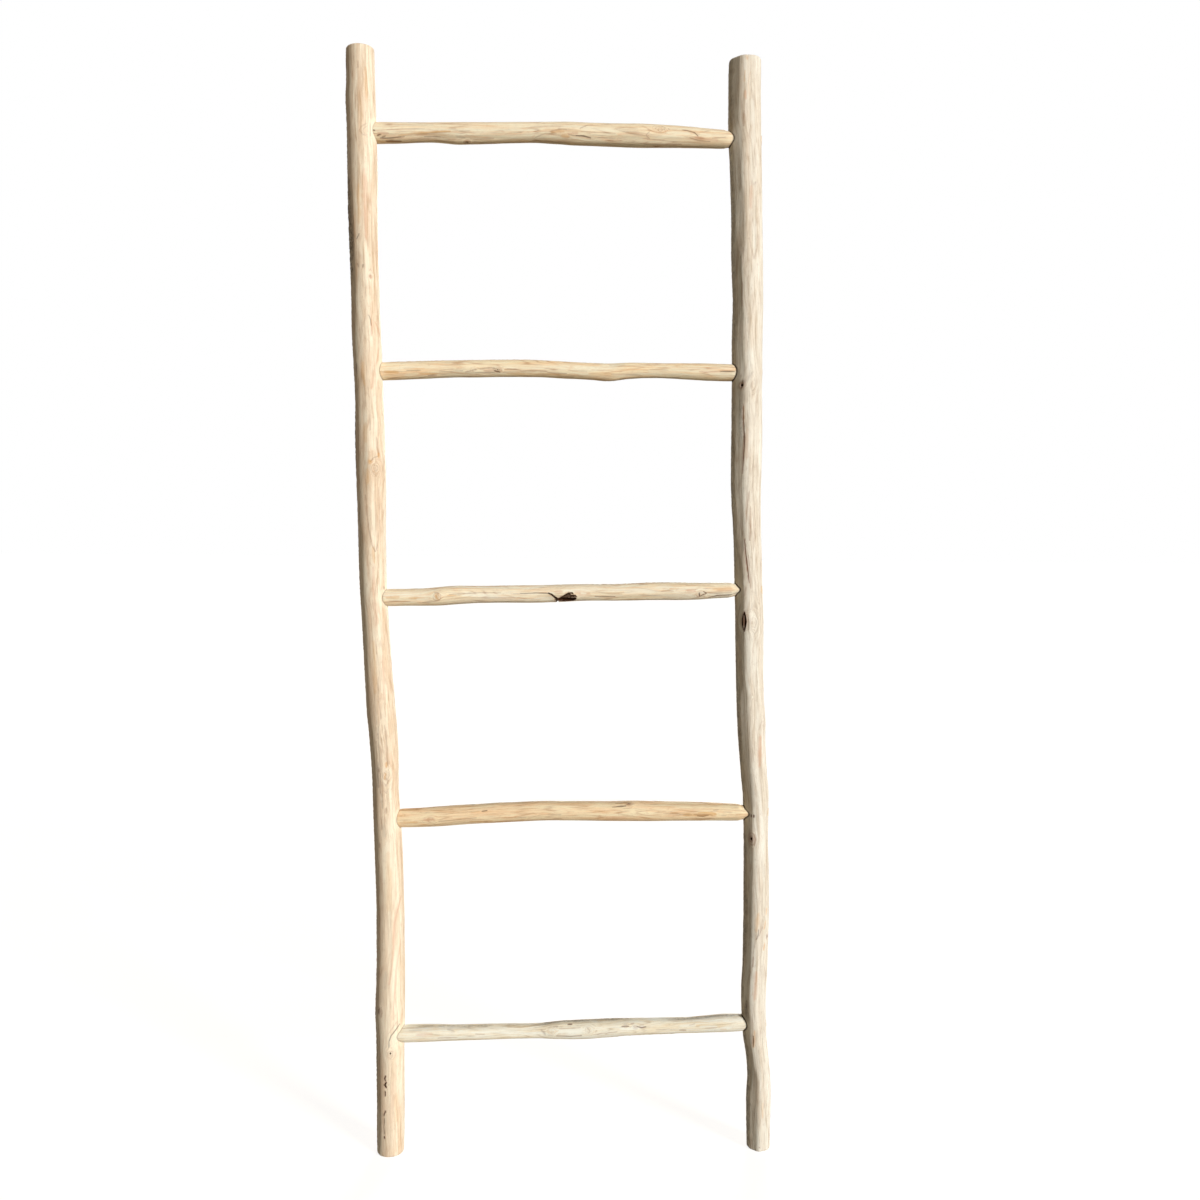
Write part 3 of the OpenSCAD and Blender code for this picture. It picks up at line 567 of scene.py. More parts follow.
            (0.6, 0.7, 95, 136, 100, 134), (0.6, 0.7, 103, 156, 110, 165, 117, 160),
            (0.45, 0.6, 107, 148, 114, 146), (0.6, 0.9, 163, 196, 173, 197),
            (0.5, 0.6, 199, 186, 216, 186), (0.45, 0.6, 177, 158, 185, 150),
            (0.4, 0.6, 130, 186, 150, 182),
        ],
    },
}

# Flats left by the drawknife: place, angle, half length and depth in millimetres
FLATS = {
    "left_rail": [
        (1400, 205, 130, 1), (1230, 212, 120, 1.4), (1000, 205, 150, 1), (760, 208, 150, 1.1),
        (520, 212, 130, 1.1), (300, 204, 130, 1), (90, 210, 110, 1.2), (1300, 300, 160, 0.6),
        (900, 290, 130, 0.5), (560, 280, 90, 0.6), (300, 300, 160, 0.5),
    ],
    "right_rail": [
        (1450, 223, 90, 0.9), (1345, 227, 90, 1.1), (1285, 232, 60, 1.2), (1200, 219, 80, 1.1),
        (1113, 226, 80, 1.1), (1040, 228, 80, 1.1), (940, 231, 130, 1.1), (740, 221, 130, 1.1),
        (590, 230, 100, 1.1), (470, 228, 120, 1.0), (300, 222, 150, 1.0), (150, 214, 80, 1.0),
        (55, 236, 80, 1.2), (1380, 282, 190, 1), (1020, 292, 190, 1), (660, 282, 190, 1), (300, 287, 190, 1),
        (50, 287, 90, 0.9),
    ],
    "rung_1": [(-150, 118, 90, 0.5), (30, 100, 90, 0.5), (190, 108, 80, 0.5)],
    "rung_2": [(-150, 230, 80, 0.4), (60, 160, 90, 0.4)],
    "rung_3": [(-120, 160, 90, 0.4), (120, 220, 90, 0.4)],
    "rung_4": [(-120, 225, 90, 0.4), (100, 150, 90, 0.4)],
    "rung_5": [(-150, 225, 80, 0.5), (80, 215, 90, 0.5)],
}
FLAT_COUNTS = {"rail": 16, "rung": 8}
FLAT_LENGTHS = (40, 100)
FLAT_DEPTHS = (0.2, 0.5)
FLAT_EVEN = 0.55
FLAT_RUNOUT = 1.3
FLAT_REACH = 1.2
FLAT_SOFT = 0.1 * MM

# Strips of dark bast left on the skin, partly painted shade: those along the left sides of the rails are
# shade painted on the sides turned from the key lamp, and those along the tops of the rungs make the tops
# darker.
# Places from and to, angle, half width in degrees, strength and relief. Each fades out over a length before
# and after its ends, and over its edges.
BAST_FADE = (8, 12)
BAST_EDGE = (0.5, 1.15)
BAST_AND_SHADE = {
    "left_rail": [
        (1335, 1500, 186, 9, 0.75, 0.35), (1200, 1335, 200, 24, 0.95, 0.5), (1040, 1200, 188, 8, 0.7, 0.3),
        (925, 1035, 188, 10, 0.8, 0.35), (700, 920, 188, 8, 0.7, 0.3), (430, 690, 187, 8, 0.7, 0.3),
        (215, 430, 186, 7, 0.6, 0.3), (60, 210, 190, 13, 0.8, 0.35), (0, 60, 184, 8, 0.6, 0.3),
        (870, 905, 218, 10, 0.4, 0.3), (200, 900, 120, 14, 0.5, 0.3), (1000, 1400, 70, 12, 0.5, 0.3),
    ],
    "right_rail": [
        (700, 1500, 186, 22, 0.42, 0.25), (0, 720, 188, 24, 0.58, 0.25), (100, 500, 60, 12, 0.5, 0.3),
        (700, 1200, 120, 14, 0.5, 0.3), (990, 1060, 236, 9, 0.4, 0.2), (190, 225, 224, 14, 0.5, 0.3),
    ],
    "rung_5": [(-250, 130, 88, 10, 0.5, 0.3), (-140, 30, 268, 7, 0.4, 0.3), (0, 200, 20, 16, 0.4, 0.2)],
    "rung_4": [(-240, 60, 90, 9, 0.5, 0.3), (40, 160, 265, 7, 0.4, 0.3), (-150, 0, 350, 16, 0.4, 0.2)],
    "rung_3": [(20, 200, 90, 9, 0.5, 0.3), (-210, 0, 90, 7, 0.3, 0.2), (-100, 100, 20, 16, 0.4, 0.2)],
    "rung_2": [(-210, -50, 90, 9, 0.5, 0.3), (-100, 100, 268, 7, 0.3, 0.2), (0, 160, 350, 16, 0.4, 0.2)],
    "rung_1": [
        (-205, -100, 104, 12, 0.4, 0.3), (-30, 95, 92, 14, 0.55, 0.35), (145, 245, 102, 12, 0.4, 0.3),
        (60, 160, 258, 8, 0.5, 0.3), (-190, -40, 10, 16, 0.4, 0.2),
    ],
}

# How far the ends of a rung are whittled thinner, over what length, and how much more at 45 degrees
# above and below the front and the back, which points the end, all in millimetres
WHITTLED = {
    "rung_1": ((0.1, 6, 0.8), (0.2, 6, 0.6)), "rung_2": ((0.2, 6, 0), (1.4, 10, 1.6)),
    "rung_3": ((0.15, 6, 0), (1.2, 11, 1.6)), "rung_4": ((0.1, 6, -0.6), (0.3, 6, -0.8)),
    "rung_5": ((0.2, 6, 0), (1.2, 8, 0)),
}

# Figures of sawn-through growth rings: how many, half length and half width in millimetres, rings
FIGURE_COUNTS = {"rail": 12, "rung": 7}
FIGURE_LENGTHS = (35, 80)
FIGURE_WIDTHS = (2.5, 5.5)
FIGURE_RINGS = (0.8, 1.8)
FIGURE_BLUNT = 0.45
FIGURE_TAPER = (1.15, 0.5)
RUNG_RINGS = 1.6

# Joint of a rung and a rail, as the rail shows it: darkness and reach in millimetres of the shade painted in
# the crevice, and of the sanded halo round it
CREVICE_SHADE = {"left_rail": (0.4, 0.6), "right_rail": (0.95, 1.1)}
HALO = {"left_rail": (0.55, 7), "right_rail": (0.25, 4)}

# Colours of the marks, in screen values from 0 to 255
ROSE = (216, 160, 122)
GOLD = (224, 168, 96)
GREY = (178, 160, 138)
BROWN = (146, 90, 54)
DARK = (54, 31, 17)
# Colour of the bast, and of the shade painted along the shaded sides
BAST_AND_SHADE_TONE = (104, 88, 70)
PIT = (176, 140, 98)
FLECK = (255, 248, 232)
END_TONES = {"pale": (250, 230, 196), "ring": (178, 134, 88), "grit": (216, 182, 138)}
PLUG_TONES = {
    "pale": (234, 210, 172), "ring": (204, 170, 126), "pore": (156, 118, 78), "fleck": (240, 216, 176),
}
STEEL_TONES = {"cool": (186, 190, 196), "warm": (214, 208, 190), "speck": (134, 128, 118)}
BUMP_HEIGHTS = {"wood": 0.35 * MM, "plug": 0.15 * MM, "steel": 0.02 * MM}

# Woods: colours from pale to the ring lines, in the same values
WOODS = {
    "left_rail": {
        "pale": (254, 240, 210), "base": (240, 215, 181), "streak": (210, 174, 134),
        "peach": (236, 200, 160), "line": (182, 136, 96), "seed": 11, "warm": 0.45, "rings": 0.4,
    },
    "right_rail": {
        "pale": (248, 241, 221), "base": (233, 220, 196), "streak": (196, 175, 146),
        "peach": (224, 203, 174), "line": (166, 134, 102), "seed": 23, "warm": 0.35, "rings": 0.36,
    },
    "rung_1": {
        "pale": (255, 252, 232), "base": (255, 243, 212), "streak": (242, 218, 176),
        "peach": (252, 228, 182), "line": (184, 152, 108), "seed": 31, "warm": 0.45, "rings": 0.6,
    },
    "rung_2": {
        "pale": (255, 237, 194), "base": (255, 221, 174), "streak": (222, 175, 124),
        "peach": (250, 199, 146), "line": (186, 130, 84), "seed": 42, "warm": 0.5, "rings": 0.6,
    },
    "rung_3": {
        "pale": (255, 247, 220), "base": (255, 239, 201), "streak": (244, 205, 158),
        "peach": (255, 218, 172), "line": (190, 144, 104), "seed": 53, "warm": 0.5, "rings": 0.6,
    },
    "rung_4": {
        "pale": (255, 243, 208), "base": (255, 233, 188), "streak": (243, 198, 146),
        "peach": (255, 213, 164), "line": (182, 128, 86), "seed": 64, "warm": 0.5, "rings": 0.65,
    },
    "rung_5": {
        "pale": (255, 243, 208), "base": (255, 232, 190), "streak": (234, 193, 146),
        "peach": (253, 211, 163), "line": (172, 118, 80), "seed": 75, "warm": 0.5, "rings": 0.65,
    },
}

# Noises of the woods: scale across and along the grain, shift or None for the wood's own, detail,
# roughness and distortion
WOOD_NOISES = {
    "broad": (95, 8, None, 3, 0.55, 0.4), "patches": (170, 24, (7, 3, 9), 3, 0.55, 0.6),
    "streaks": (420, 15, None, 3, 0.6, 0.3), "lines": (640, 20, (5, 8, 2), 2, 0.5, 0.4),
    "threads": (1300, 38, None, 3, 0.6, 0.1), "fibres": (4200, 120, None, 2, 0.6),
    "pores": (2600, 260, None, 1, 0.5), "grit": (900, 500, None, 3, 0.6),
    "mottle": (320, 120, (1, 6, 4), 3, 0.6),
}
SEED_SHIFT = (1.7, 0.9, 2.3)

# Layers of colour over the base, in order: noise, where each begins and is full, strength and colour
WOOD_LAYERS = (
    ("patches", 0.46, 0.28, 0.6, "pale"), ("streaks", 0.48, 0.74, 0.72, "streak"),
    ("streaks", 0.44, 0.26, 0.7, "pale"), ("lines", 0.56, 0.70, 0.55, "streak"),
    ("mottle", 0.54, 0.74, 0.35, "streak"), ("mottle", 0.44, 0.26, 0.35, "pale"),
    ("threads", 0.5, 0.8, 0.5, "streak"),
)

RAILS = ("left_rail", "right_rail")
RUNGS = ("rung_1", "rung_2", "rung_3", "rung_4", "rung_5")
OUTSIDE = {"left_rail": 180, "right_rail": 0}

# The kinds of branch, and from where to where flats and figures are spread over them
RAIL_SPAN = ("rail", 0, 1500)
RUNG_SPAN = ("rung", -240, 240)

# What is added to the seed of a branch for each use
FLAT_SEED = 40
FIGURE_SEED = 60
END_RING_SEED = 20
SAW_SEED = 21


# Small helpers
def rgb(red, green, blue):
    """Screen values from 0 to 255 as a linear colour."""
    shares = (value / 255 for value in (red, green, blue))
    return [s / 12.92 if s <= 0.04045 else ((s + 0.055) / 1.055) ** 2.4 for s in shares] + [1.0]


def ease(x, low, high):
    """0 below low, 1 above high, and a smooth climb between them."""
    t = np.clip((x - low) / (high - low), 0, 1)
    return t * t * (3 - 2 * t)


def bell(x, width, middle=0.0):
    """1 in the middle, falling off on both sides."""
    return np.exp(-(((x - middle) / width) ** 2))


def blurred(values, cells, axis, wrap):
    """values smoothed by a bell of that many cells along an axis."""
    if wrap:
        length = values.shape[axis]
        turns = np.fft.rfftfreq(length)
        shape = [1] * values.ndim
        shape[axis] = len(turns)
        bell = np.exp(-2 * (math.pi * turns * cells) ** 2).reshape(shape)
        return np.fft.irfft(np.fft.rfft(values, axis=axis) * bell, n=length, axis=axis)
    span = int(4 * cells) + 1
    steps = np.arange(-span, span + 1)
    bell = np.exp(-0.5 * (steps / cells) ** 2)
    bell /= bell.sum()
    edges = [(0, 0)] * values.ndim
    edges[axis] = (span, span)
    padded = np.pad(values, edges, mode="reflect", reflect_type="odd")
    return np.apply_along_axis(lambda row: np.convolve(row, bell, "valid"), axis, padded)


def looked_up(table, u, v, smooth=False):
    """Values of a table between its cells, at rows u and columns v. The last column meets the first."""
    i, j = np.clip(np.floor(u).astype(int), 0, len(table) - 2), np.floor(v).astype(int)
    fu, fv = u - i, v - j
    if smooth:
        fu, fv = fu * fu * (3 - 2 * fu), fv * fv * (3 - 2 * fv)
    j, k = j % table.shape[1], (j + 1) % table.shape[1]
    low = table[i, j] * (1 - fv) + table[i, k] * fv
    high = table[i + 1, j] * (1 - fv) + table[i + 1, k] * fv
    return low * (1 - fu) + high * fu


def noise(s, a, cell, cells_round, seed):
    """Smooth noise from -1 to 1 on a branch, in cells of a length and of a share of the turn."""
    u = s / cell
    u = u - math.floor(u.min())
    grid = np.random.default_rng(seed).uniform(-1, 1, (int(u.max()) + 3, cells_round))
    return looked_up(grid, u, (a / TURN % 1) * cells_round, True)


def waves(s, a, seed, rows):
    """Noises added up, from rows with height, cell length, cells round and what is added to the seed."""
    return sum(height * noise(s, a, cell, cells, seed + more) for height, cell, cells, more in rows)


def extended(values):
    """values with some more rows at each end, along the slope there."""
    k = np.arange(1, EXTRA_ROWS + 1).reshape(-1, *[1] * (values.ndim - 1))
    before = values[0] + (values[0] - values[SLOPE_ROWS]) / SLOPE_ROWS * k
    after = values[-1] + (values[-1] - values[-1 - SLOPE_ROWS]) / SLOPE_ROWS * k
    return np.concatenate([before[::-1], values, after])


def without_holes(radii):
    """Radii with the places where a ray fell into a screw hole closed again."""
    padded = np.pad(radii, ((HOLE_SPAN, HOLE_SPAN), (0, 0)), mode="edge")
    middle = np.median([padded[k:k + len(radii)] for k in range(2 * HOLE_SPAN + 1)], axis=0)
    return np.where(radii < middle - HOLE_DIP, middle, radii)


def solid_tree(*nodes):
    """A tree for casting rays at the faces of CAD nodes."""
    points, faces = [], []
    for name in nodes:
        mesh = frame["nodes"][name].data
        first = len(points)
        points += [v.co.copy() for v in mesh.vertices]
        faces += [[first + i for i in face.vertices] for face in mesh.polygons]
    return BVHTree.FromPolygons(points, faces)


# A branch: its axis, the line of its centres and its radius, sampled from the solids
class Stem:
    def __init__(self, name, nodes, origin, ahead, side, low, high):
        self.name = name
        self.tree = solid_tree(*nodes)
        self.origin, self.ahead, self.side = Vector(origin), Vector(ahead), Vector(side)
        self.up = self.ahead.cross(self.side)
        self.steps = np.linspace(low, high, int((high - low) / SAMPLE_STEP) + 1)
        self.sample()

    def inward(self, s, offset, direction):
        """How far the skin lies from a point of the axis plane, in one direction."""
        at = self.origin + self.ahead * s + self.side * offset[0] + self.up * offset[1]
        hit = self.tree.ray_cast(at + direction * REACH, -direction)
        return REACH - hit[3] if hit[0] is not None else None

    def sample(self):
        """Finds the middle of the solid at each step, and from there its radius all round."""
        centres, radii = [], []
        turn = np.arange(SAMPLE_SIDES) / SAMPLE_SIDES * TURN
        offset = [0.0, 0.0]
        for s in self.steps:
            for _ in range(2):
                for k, direction in enumerate((self.side, self.up)):
                    ahead, behind = self.inward(s, offset, direction), self.inward(s, offset, -direction)
                    if ahead is not None and behind is not None:
                        offset[k] += (ahead - behind) / 2
            centres.append(list(offset))
        self.centres = blurred(np.array(centres), CENTRE_BLUR, 0, False)
        for s, offset in zip(self.steps, self.centres):
            row = []
            for a in turn:
                direction = self.side * math.cos(a) + self.up * math.sin(a)
                r = self.inward(s, offset, direction)
                row.append(r if r is not None else row[-1])
            radii.append(row)
        radii = blurred(without_holes(np.array(radii)), RADIUS_BLUR[0], 0, False)
        radii = blurred(radii, RADIUS_BLUR[1], 1, True)
        self.mean_r = float(radii.mean())
        self.steps, self.centres, self.radii = (extended(v) for v in (self.steps, self.centres, radii))

    def radius(self, s, a):
        """Radius of the smooth skin at arrays of places and angles."""
        u = np.clip((s - self.steps[0]) / (self.steps[1] - self.steps[0]), 0, len(self.steps) - 1.001)
        return looked_up(self.radii, u, (a / TURN % 1) * SAMPLE_SIDES)

    def place(self, s, a, r):
        """Points in the shared frame for arrays of places, angles and radii."""
        across = np.interp(s, self.steps, self.centres[:, 0]) + r * np.cos(a)
        over = np.interp(s, self.steps, self.centres[:, 1]) + r * np.sin(a)
        axes = np.array([self.ahead, self.side, self.up])
        return np.array(self.origin) + np.stack([s, across, over], axis=1) @ axes

    def beside(self, s, a, at, angle):
        """Distances in metres from a spot on the skin, along the branch and round it."""
        turn = (a - math.radians(angle) + math.pi) % TURN - math.pi
        return s - at * MM, turn * self.mean_r


def rail_stem(name):
    """The stem of a rail, with its screw holes closed by its plugs."""
    low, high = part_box(name)
    side = name.split("_")[0]
    nodes = [name] + [f"{side}_plug_{n}" for n in range(1, 6)]
    middle = (low + high) / 2
    ends = (low.z + RAIL_SPARE, high.z - RAIL_SPARE)
    return Stem(name, nodes, (middle.x, middle.y, 0), (0, 0, 1), (1, 0, 0), *ends)


def rung_stem(name):
    """The stem of a rung, on the line between the middles of its two ends."""
    low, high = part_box(name)
    tree = solid_tree(name)
    ends = []
    for x in (low.x + COPE_REACH, high.x - COPE_REACH):
        y, z = 0.0, (low.z + high.z) / 2
        for _ in range(3):
            top = tree.ray_cast(Vector((x, y, z + REACH)), Vector((0, 0, -1)))[0]
            bottom = tree.ray_cast(Vector((x, y, z - REACH)), Vector((0, 0, 1)))[0]
            z = (top.z + bottom.z) / 2
            front = tree.ray_cast(Vector((x, y - REACH, z)), Vector((0, 1, 0)))[0]
            back = tree.ray_cast(Vector((x, y + REACH, z)), Vector((0, -1, 0)))[0]
            y = (front.y + back.y) / 2
        ends.append(Vector((x, y, z)))
    ahead = (ends[1] - ends[0]).normalized()
    origin = ends[0] - ahead * (ends[0].x / ahead.x)
    side = Vector((-ahead.y, ahead.x, 0)).normalized()
    first, last = (ends[0] - origin).dot(ahead), (ends[1] - origin).dot(ahead)
    return Stem(name, [name], origin, ahead, side, first - RUNG_SPARE, last + RUNG_SPARE)


# Relief and marks of a branch
def on_line(stem, s, a, points, reach):
    """The places near a line on the skin, how far along it they lie and their distance from it."""
    angle = points[0][1]
    line = [(p[0] * MM, math.radians(p[1] - angle) * stem.mean_r) for p in points]
    ends = [u for u, _ in line]
    near = np.flatnonzero((s > min(ends) - reach) & (s < max(ends) + reach))
    u, v = stem.beside(s[near], a[near], 0, angle)
    share, far = np.zeros(len(near)), np.full(len(near), 1.0)
    for k, ((u0, v0), (u1, v1)) in enumerate(zip(line, line[1:])):
        du, dv = u1 - u0, v1 - v0
        along = np.clip(((u - u0) * du + (v - v0) * dv) / (du ** 2 + dv ** 2), 0, 1)
        here = np.hypot(u - u0 - along * du, v - v0 - along * dv)
        closer = here < far
        share[closer], far[closer] = (k + along)[closer], here[closer]
    return near, share, far


def crack_field(stem, s, a, points, spare=0.0):
    """The places near a crack, how deep they lie in it, how near its middle, and how near its rim."""
    near, share, far = on_line(stem, s, a, points, MARK_REACH)
    knots = np.arange(len(points))
    wide = np.interp(share, knots, [(p[2] + spare) * MM for p in points])
    depth = np.interp(share, knots, [p[3] * MM for p in points])
    deep = depth * np.sqrt(np.clip(1 - far / wide, 0, 1))
    middle = np.clip((wide + CRACK_RIM - far) / CRACK_SOFT, 0, 1)
    return near, deep, middle, np.clip((wide + CRACK_STAIN - far) / CRACK_STAIN, 0, 1)


def stroke_field(stem, s, a, half_width, points, ragged):
    """The places near a line of colour and its strength there: thinner at its ends, its edge ragged."""
    near, share, far = on_line(stem, s, a, points, 4 * half_width * MM)
    share /= len(points) - 1
    end, middle = STROKE_TAPER
    wide = half_width * MM * ragged[near] * (end + middle * np.sqrt(share * (1 - share)))
    return near, bell(far, wide)


def strokes_of(name):
    """The strokes of a branch: their kind, strength, half width and points."""
    for kind, strokes in STROKES[name].items():
        for strength, half_width, *line in strokes:
            yield kind, strength, half_width, list(zip(line[::2], line[1::2]))


def raise_to(values, near, field):
    """Lifts the values at some places to a field, where it is higher."""
    values[near] = np.maximum(values[near], field)


def scattered(name, counts, more):
    """Places and angles spread over a branch by its seed, with what draws their other numbers."""
    kind, low, high = RAIL_SPAN if name in RAILS else RUNG_SPAN
    pick = np.random.default_rng(WOODS[name]["seed"] + more)
    for k in range(counts[kind]):
        place = low + (k + pick.uniform(0.2, 0.8)) / counts[kind] * (high - low)
        yield place, pick.uniform(0, 360), pick


def flats_of(name):
    """The named flats of a branch and some more, spread over it."""
    more = [(place, angle, pick.uniform(*FLAT_LENGTHS), pick.uniform(*FLAT_DEPTHS))
            for place, angle, pick in scattered(name, FLAT_COUNTS, FLAT_SEED)]
    return FLATS[name] + more


def flat_cut(stem, s, a):
    """How much the drawknife took off the round branch."""
    cut = np.zeros(len(s))
    for place, angle, long, depth in flats_of(stem.name):
        u, v = stem.beside(s, a, place, angle)
        turn = v / stem.mean_r
        deep = depth * MM * (1 - ease(abs(u), FLAT_EVEN * long * MM, long * MM) * FLAT_RUNOUT)
        near = abs(turn) < FLAT_REACH
        level = (stem.mean_r - deep) / np.cos(np.where(near, turn, 0))
        over = np.where(near, stem.mean_r - level, -1)
        cut = np.maximum(cut, 0.5 * (over + np.sqrt(over ** 2 + FLAT_SOFT ** 2)))
    return cut


def figures(stem, s, a):
    """Growth rings that the drawknife cut through, as more rings round spots with one pointed end."""
    ring = np.zeros(len(s))
    for place, angle, pick in scattered(stem.name, FIGURE_COUNTS, FIGURE_SEED):
        u, v = stem.beside(s, a, place, angle)
        long, wide = pick.uniform(*FIGURE_LENGTHS) * MM, pick.uniform(*FIGURE_WIDTHS) * MM
        rings = pick.uniform(*FIGURE_RINGS)
        u = u * pick.choice((-1, 1))
        reach = np.where(u > 0, long, FIGURE_BLUNT * long)
        wide = wide * (FIGURE_TAPER[0] - FIGURE_TAPER[1] * ease(u, 0, long))
        ring += rings * np.exp(-((u / reach) ** 2) - (v / wide) ** 2)
    return ring


def bast_and_shade_field(stem, s, a, seed):
    """Strips of rough bast and of painted shade on the shaded sides: their strength and their relief."""
    shade, rough = np.zeros(len(s)), np.zeros(len(s))
    lumps = waves(s, a, seed, BAST_LUMPS)
    wander = waves(s, a * 0, seed, BAST_WANDER)
    out, into = BAST_FADE
    for low, high, angle, half, strength, relief in BAST_AND_SHADE[stem.name]:
        _, v = stem.beside(s, a, 0, angle)
        turn = abs(np.degrees(v / stem.mean_r))
        wide = half * (1 + 0.45 * wander)
        begun = ease(s, (low - out) * MM, (low + into) * MM)
        there = begun * (1 - ease(s, (high - into) * MM, (high + out) * MM))
        field = there * (1 - ease(turn, BAST_EDGE[0] * wide, BAST_EDGE[1] * wide))
        shade = np.maximum(shade, field * strength * (0.75 + 0.45 * lumps))
        rough += field * relief * MM * (lumps + 0.3)
    return shade, rough


def add_knots(stem, s, a, relief, slip, ring, kinds):
    """Adds the knots: a rise in a groove, grain that bends round it, a dark heart, perhaps a hole.

    Far is the distance from the middle of a knot in its radii.
    """
    for at, angle, size, stretch, rise, heart, hole in KNOTS[stem.name]:
        u, v = stem.beside(s, a, at, angle)
        far = np.hypot(u / stretch, v) / (size * MM)
        relief += rise * MM * np.exp(-0.6 * far ** 2) - KNOT_GROOVE * bell(far, 0.16, 0.95)
        relief -= 0.35 * rise * MM * bell(far, 0.25, 0.3)
        slip += -v / (far ** 2 + 0.35) * bell(far, 3.2)
        inside = 1 - ease(far, 0.75, 1.5)
        ring[:] = ring * (1 - inside) + far * 2.6 * inside
        brown = heart * (1 - ease(far, 0.35, 1.1)) + 0.5 * heart * bell(far, 0.15, 0.95)
        kinds["brown"] = np.maximum(kinds["brown"], brown)
        kinds["dark"] = np.maximum(kinds["dark"], max(0, heart - 0.35) * (1 - ease(far, 0.1, 0.7)))
        if hole:
            deep = 1 - ease(far * size, hole * 0.7, hole * 1.3)
            relief -= KNOT_HOLE * deep
            kinds["dark"] = np.maximum(kinds["dark"], deep)


def add_cracks(stem, s, a, relief, kinds):
    """Adds the cracks and hollows, dark inside and with a brown stain round them."""
    cut = np.zeros(len(s))
    for darkness, points in CRACKS[stem.name]:
        near, deep, middle, rim = crack_field(stem, s, a, points)
        raise_to(cut, near, deep)
        raise_to(kinds["brown"], near, 0.7 * darkness * rim)
        raise_to(kinds["dark"], near, darkness * middle)
    relief -= cut


def marks(stem, s, a):
    """Relief in metres and the values for the shading, at arrays of places."""
    seed = WOODS[stem.name]["seed"]
    relief = waves(s, a, seed, BUMPS)
    relief += waves(s, a, seed, RIDGES)
    relief -= flat_cut(stem, s, a)
    bast, rough = bast_and_shade_field(stem, s, a, seed)
    relief += rough
    slip = waves(s, a, seed, SLIP_ROUND)
    ring = waves(s, a, seed, RING_WAVES) * (1 if stem.name in RAILS else RUNG_RINGS)
    kinds = {kind: np.zeros(len(s)) for kind in ("rose", "gold", "grey", "pale", "brown", "dark")}
    add_knots(stem, s, a, relief, slip, ring, kinds)
    add_cracks(stem, s, a, relief, kinds)
    ragged = 1 + waves(s, a, seed, RAGGED)
    for kind, strength, half_width, points in strokes_of(stem.name):
        near, field = stroke_field(stem, s, a, half_width, points, ragged)
        raise_to(kinds[kind], near, strength * field)
    turn, r = a + s / TWIST + slip / stem.mean_r, stem.mean_r
    along = s + waves(s, a, seed, SLIP_ALONG)
    return relief, {
        "grain": np.stack([r * np.cos(turn), r * np.sin(turn), along], axis=1),
        "ring": ring + figures(stem, s, a),
        "bast": bast,
        "tint": np.stack([kinds[kind] for kind in ("rose", "gold", "grey")], axis=1),
        "spots": np.stack([kinds[kind] for kind in ("pale", "brown", "dark")], axis=1),
    }


def fine_places(stem, s, a):
    """How much finer the mesh has to be at arrays of places: 0, 1 or 2 halvings."""
    need = np.zeros(len(s))
    for at, angle, size, stretch, _, _, hole in KNOTS[stem.name]:
        u, v = stem.beside(s, a, at, angle)
        far = np.hypot(u / stretch, v) / (size * MM)
        need = np.maximum(need, np.where(far < FINE_KNOT, 1, 0))
        if hole:
            need = np.maximum(need, np.where(far * size < hole + FINE_HOLE, 2, 0))
    for _, points in CRACKS[stem.name]:
        near, deep, *_ = crack_field(stem, s, a, points, FINE_CRACK)
        raise_to(need, near, np.where(deep > 0, 2, 0))
    for _, _, half_width, points in strokes_of(stem.name):
        if half_width < FINE_STROKE:
            near, _, far = on_line(stem, s, a, points, MARK_REACH)
            raise_to(need, near, np.where(far < (half_width + FINE_STROKE_EDGE) * MM, 1, 0))
    bast, _ = bast_and_shade_field(stem, s, a, WOODS[stem.name]["seed"])
    return np.maximum(need, np.where(bast > FINE_BAST, 1, 0))


# Skins: a skin is a sheet of points with row, angle and depth, wound round its branch
def sheet_of(rows, sides, start):
    """Points and faces of a plain sheet. The last column lies on the first one."""
    row, column = np.meshgrid(np.arange(rows), np.arange(sides + 1), indexing="ij")
    points = np.stack([row.ravel(), start + column.ravel() / sides * TURN, np.zeros(row.size)], axis=1)
    i, j = np.meshgrid(np.arange(rows - 1), np.arange(sides), indexing="ij")
    first = (i * (sides + 1) + j).ravel()
    faces = np.stack([first, first + 1, first + sides + 2, first + sides + 1], axis=1)
    return points, faces


def pocket_loop(row, column):
    """Rows and columns of the square of points round a pocket, in their order."""
    k, run = PATCH_CELLS, range(-PATCH_CELLS, PATCH_CELLS)
    loop = [(row - k, column + j) for j in run] + [(row + i, column + k) for i in run]
    return loop + [(row + k, column - j) for j in run] + [(row - i, column - k) for i in run]


def ring_faces(rings):
    """Faces between rings of point numbers, each ring joined to the next."""
    return np.concatenate([np.stack([one, np.roll(one, -1), np.roll(two, -1), two], axis=1)
                           for one, two in zip(rings, rings[1:])])


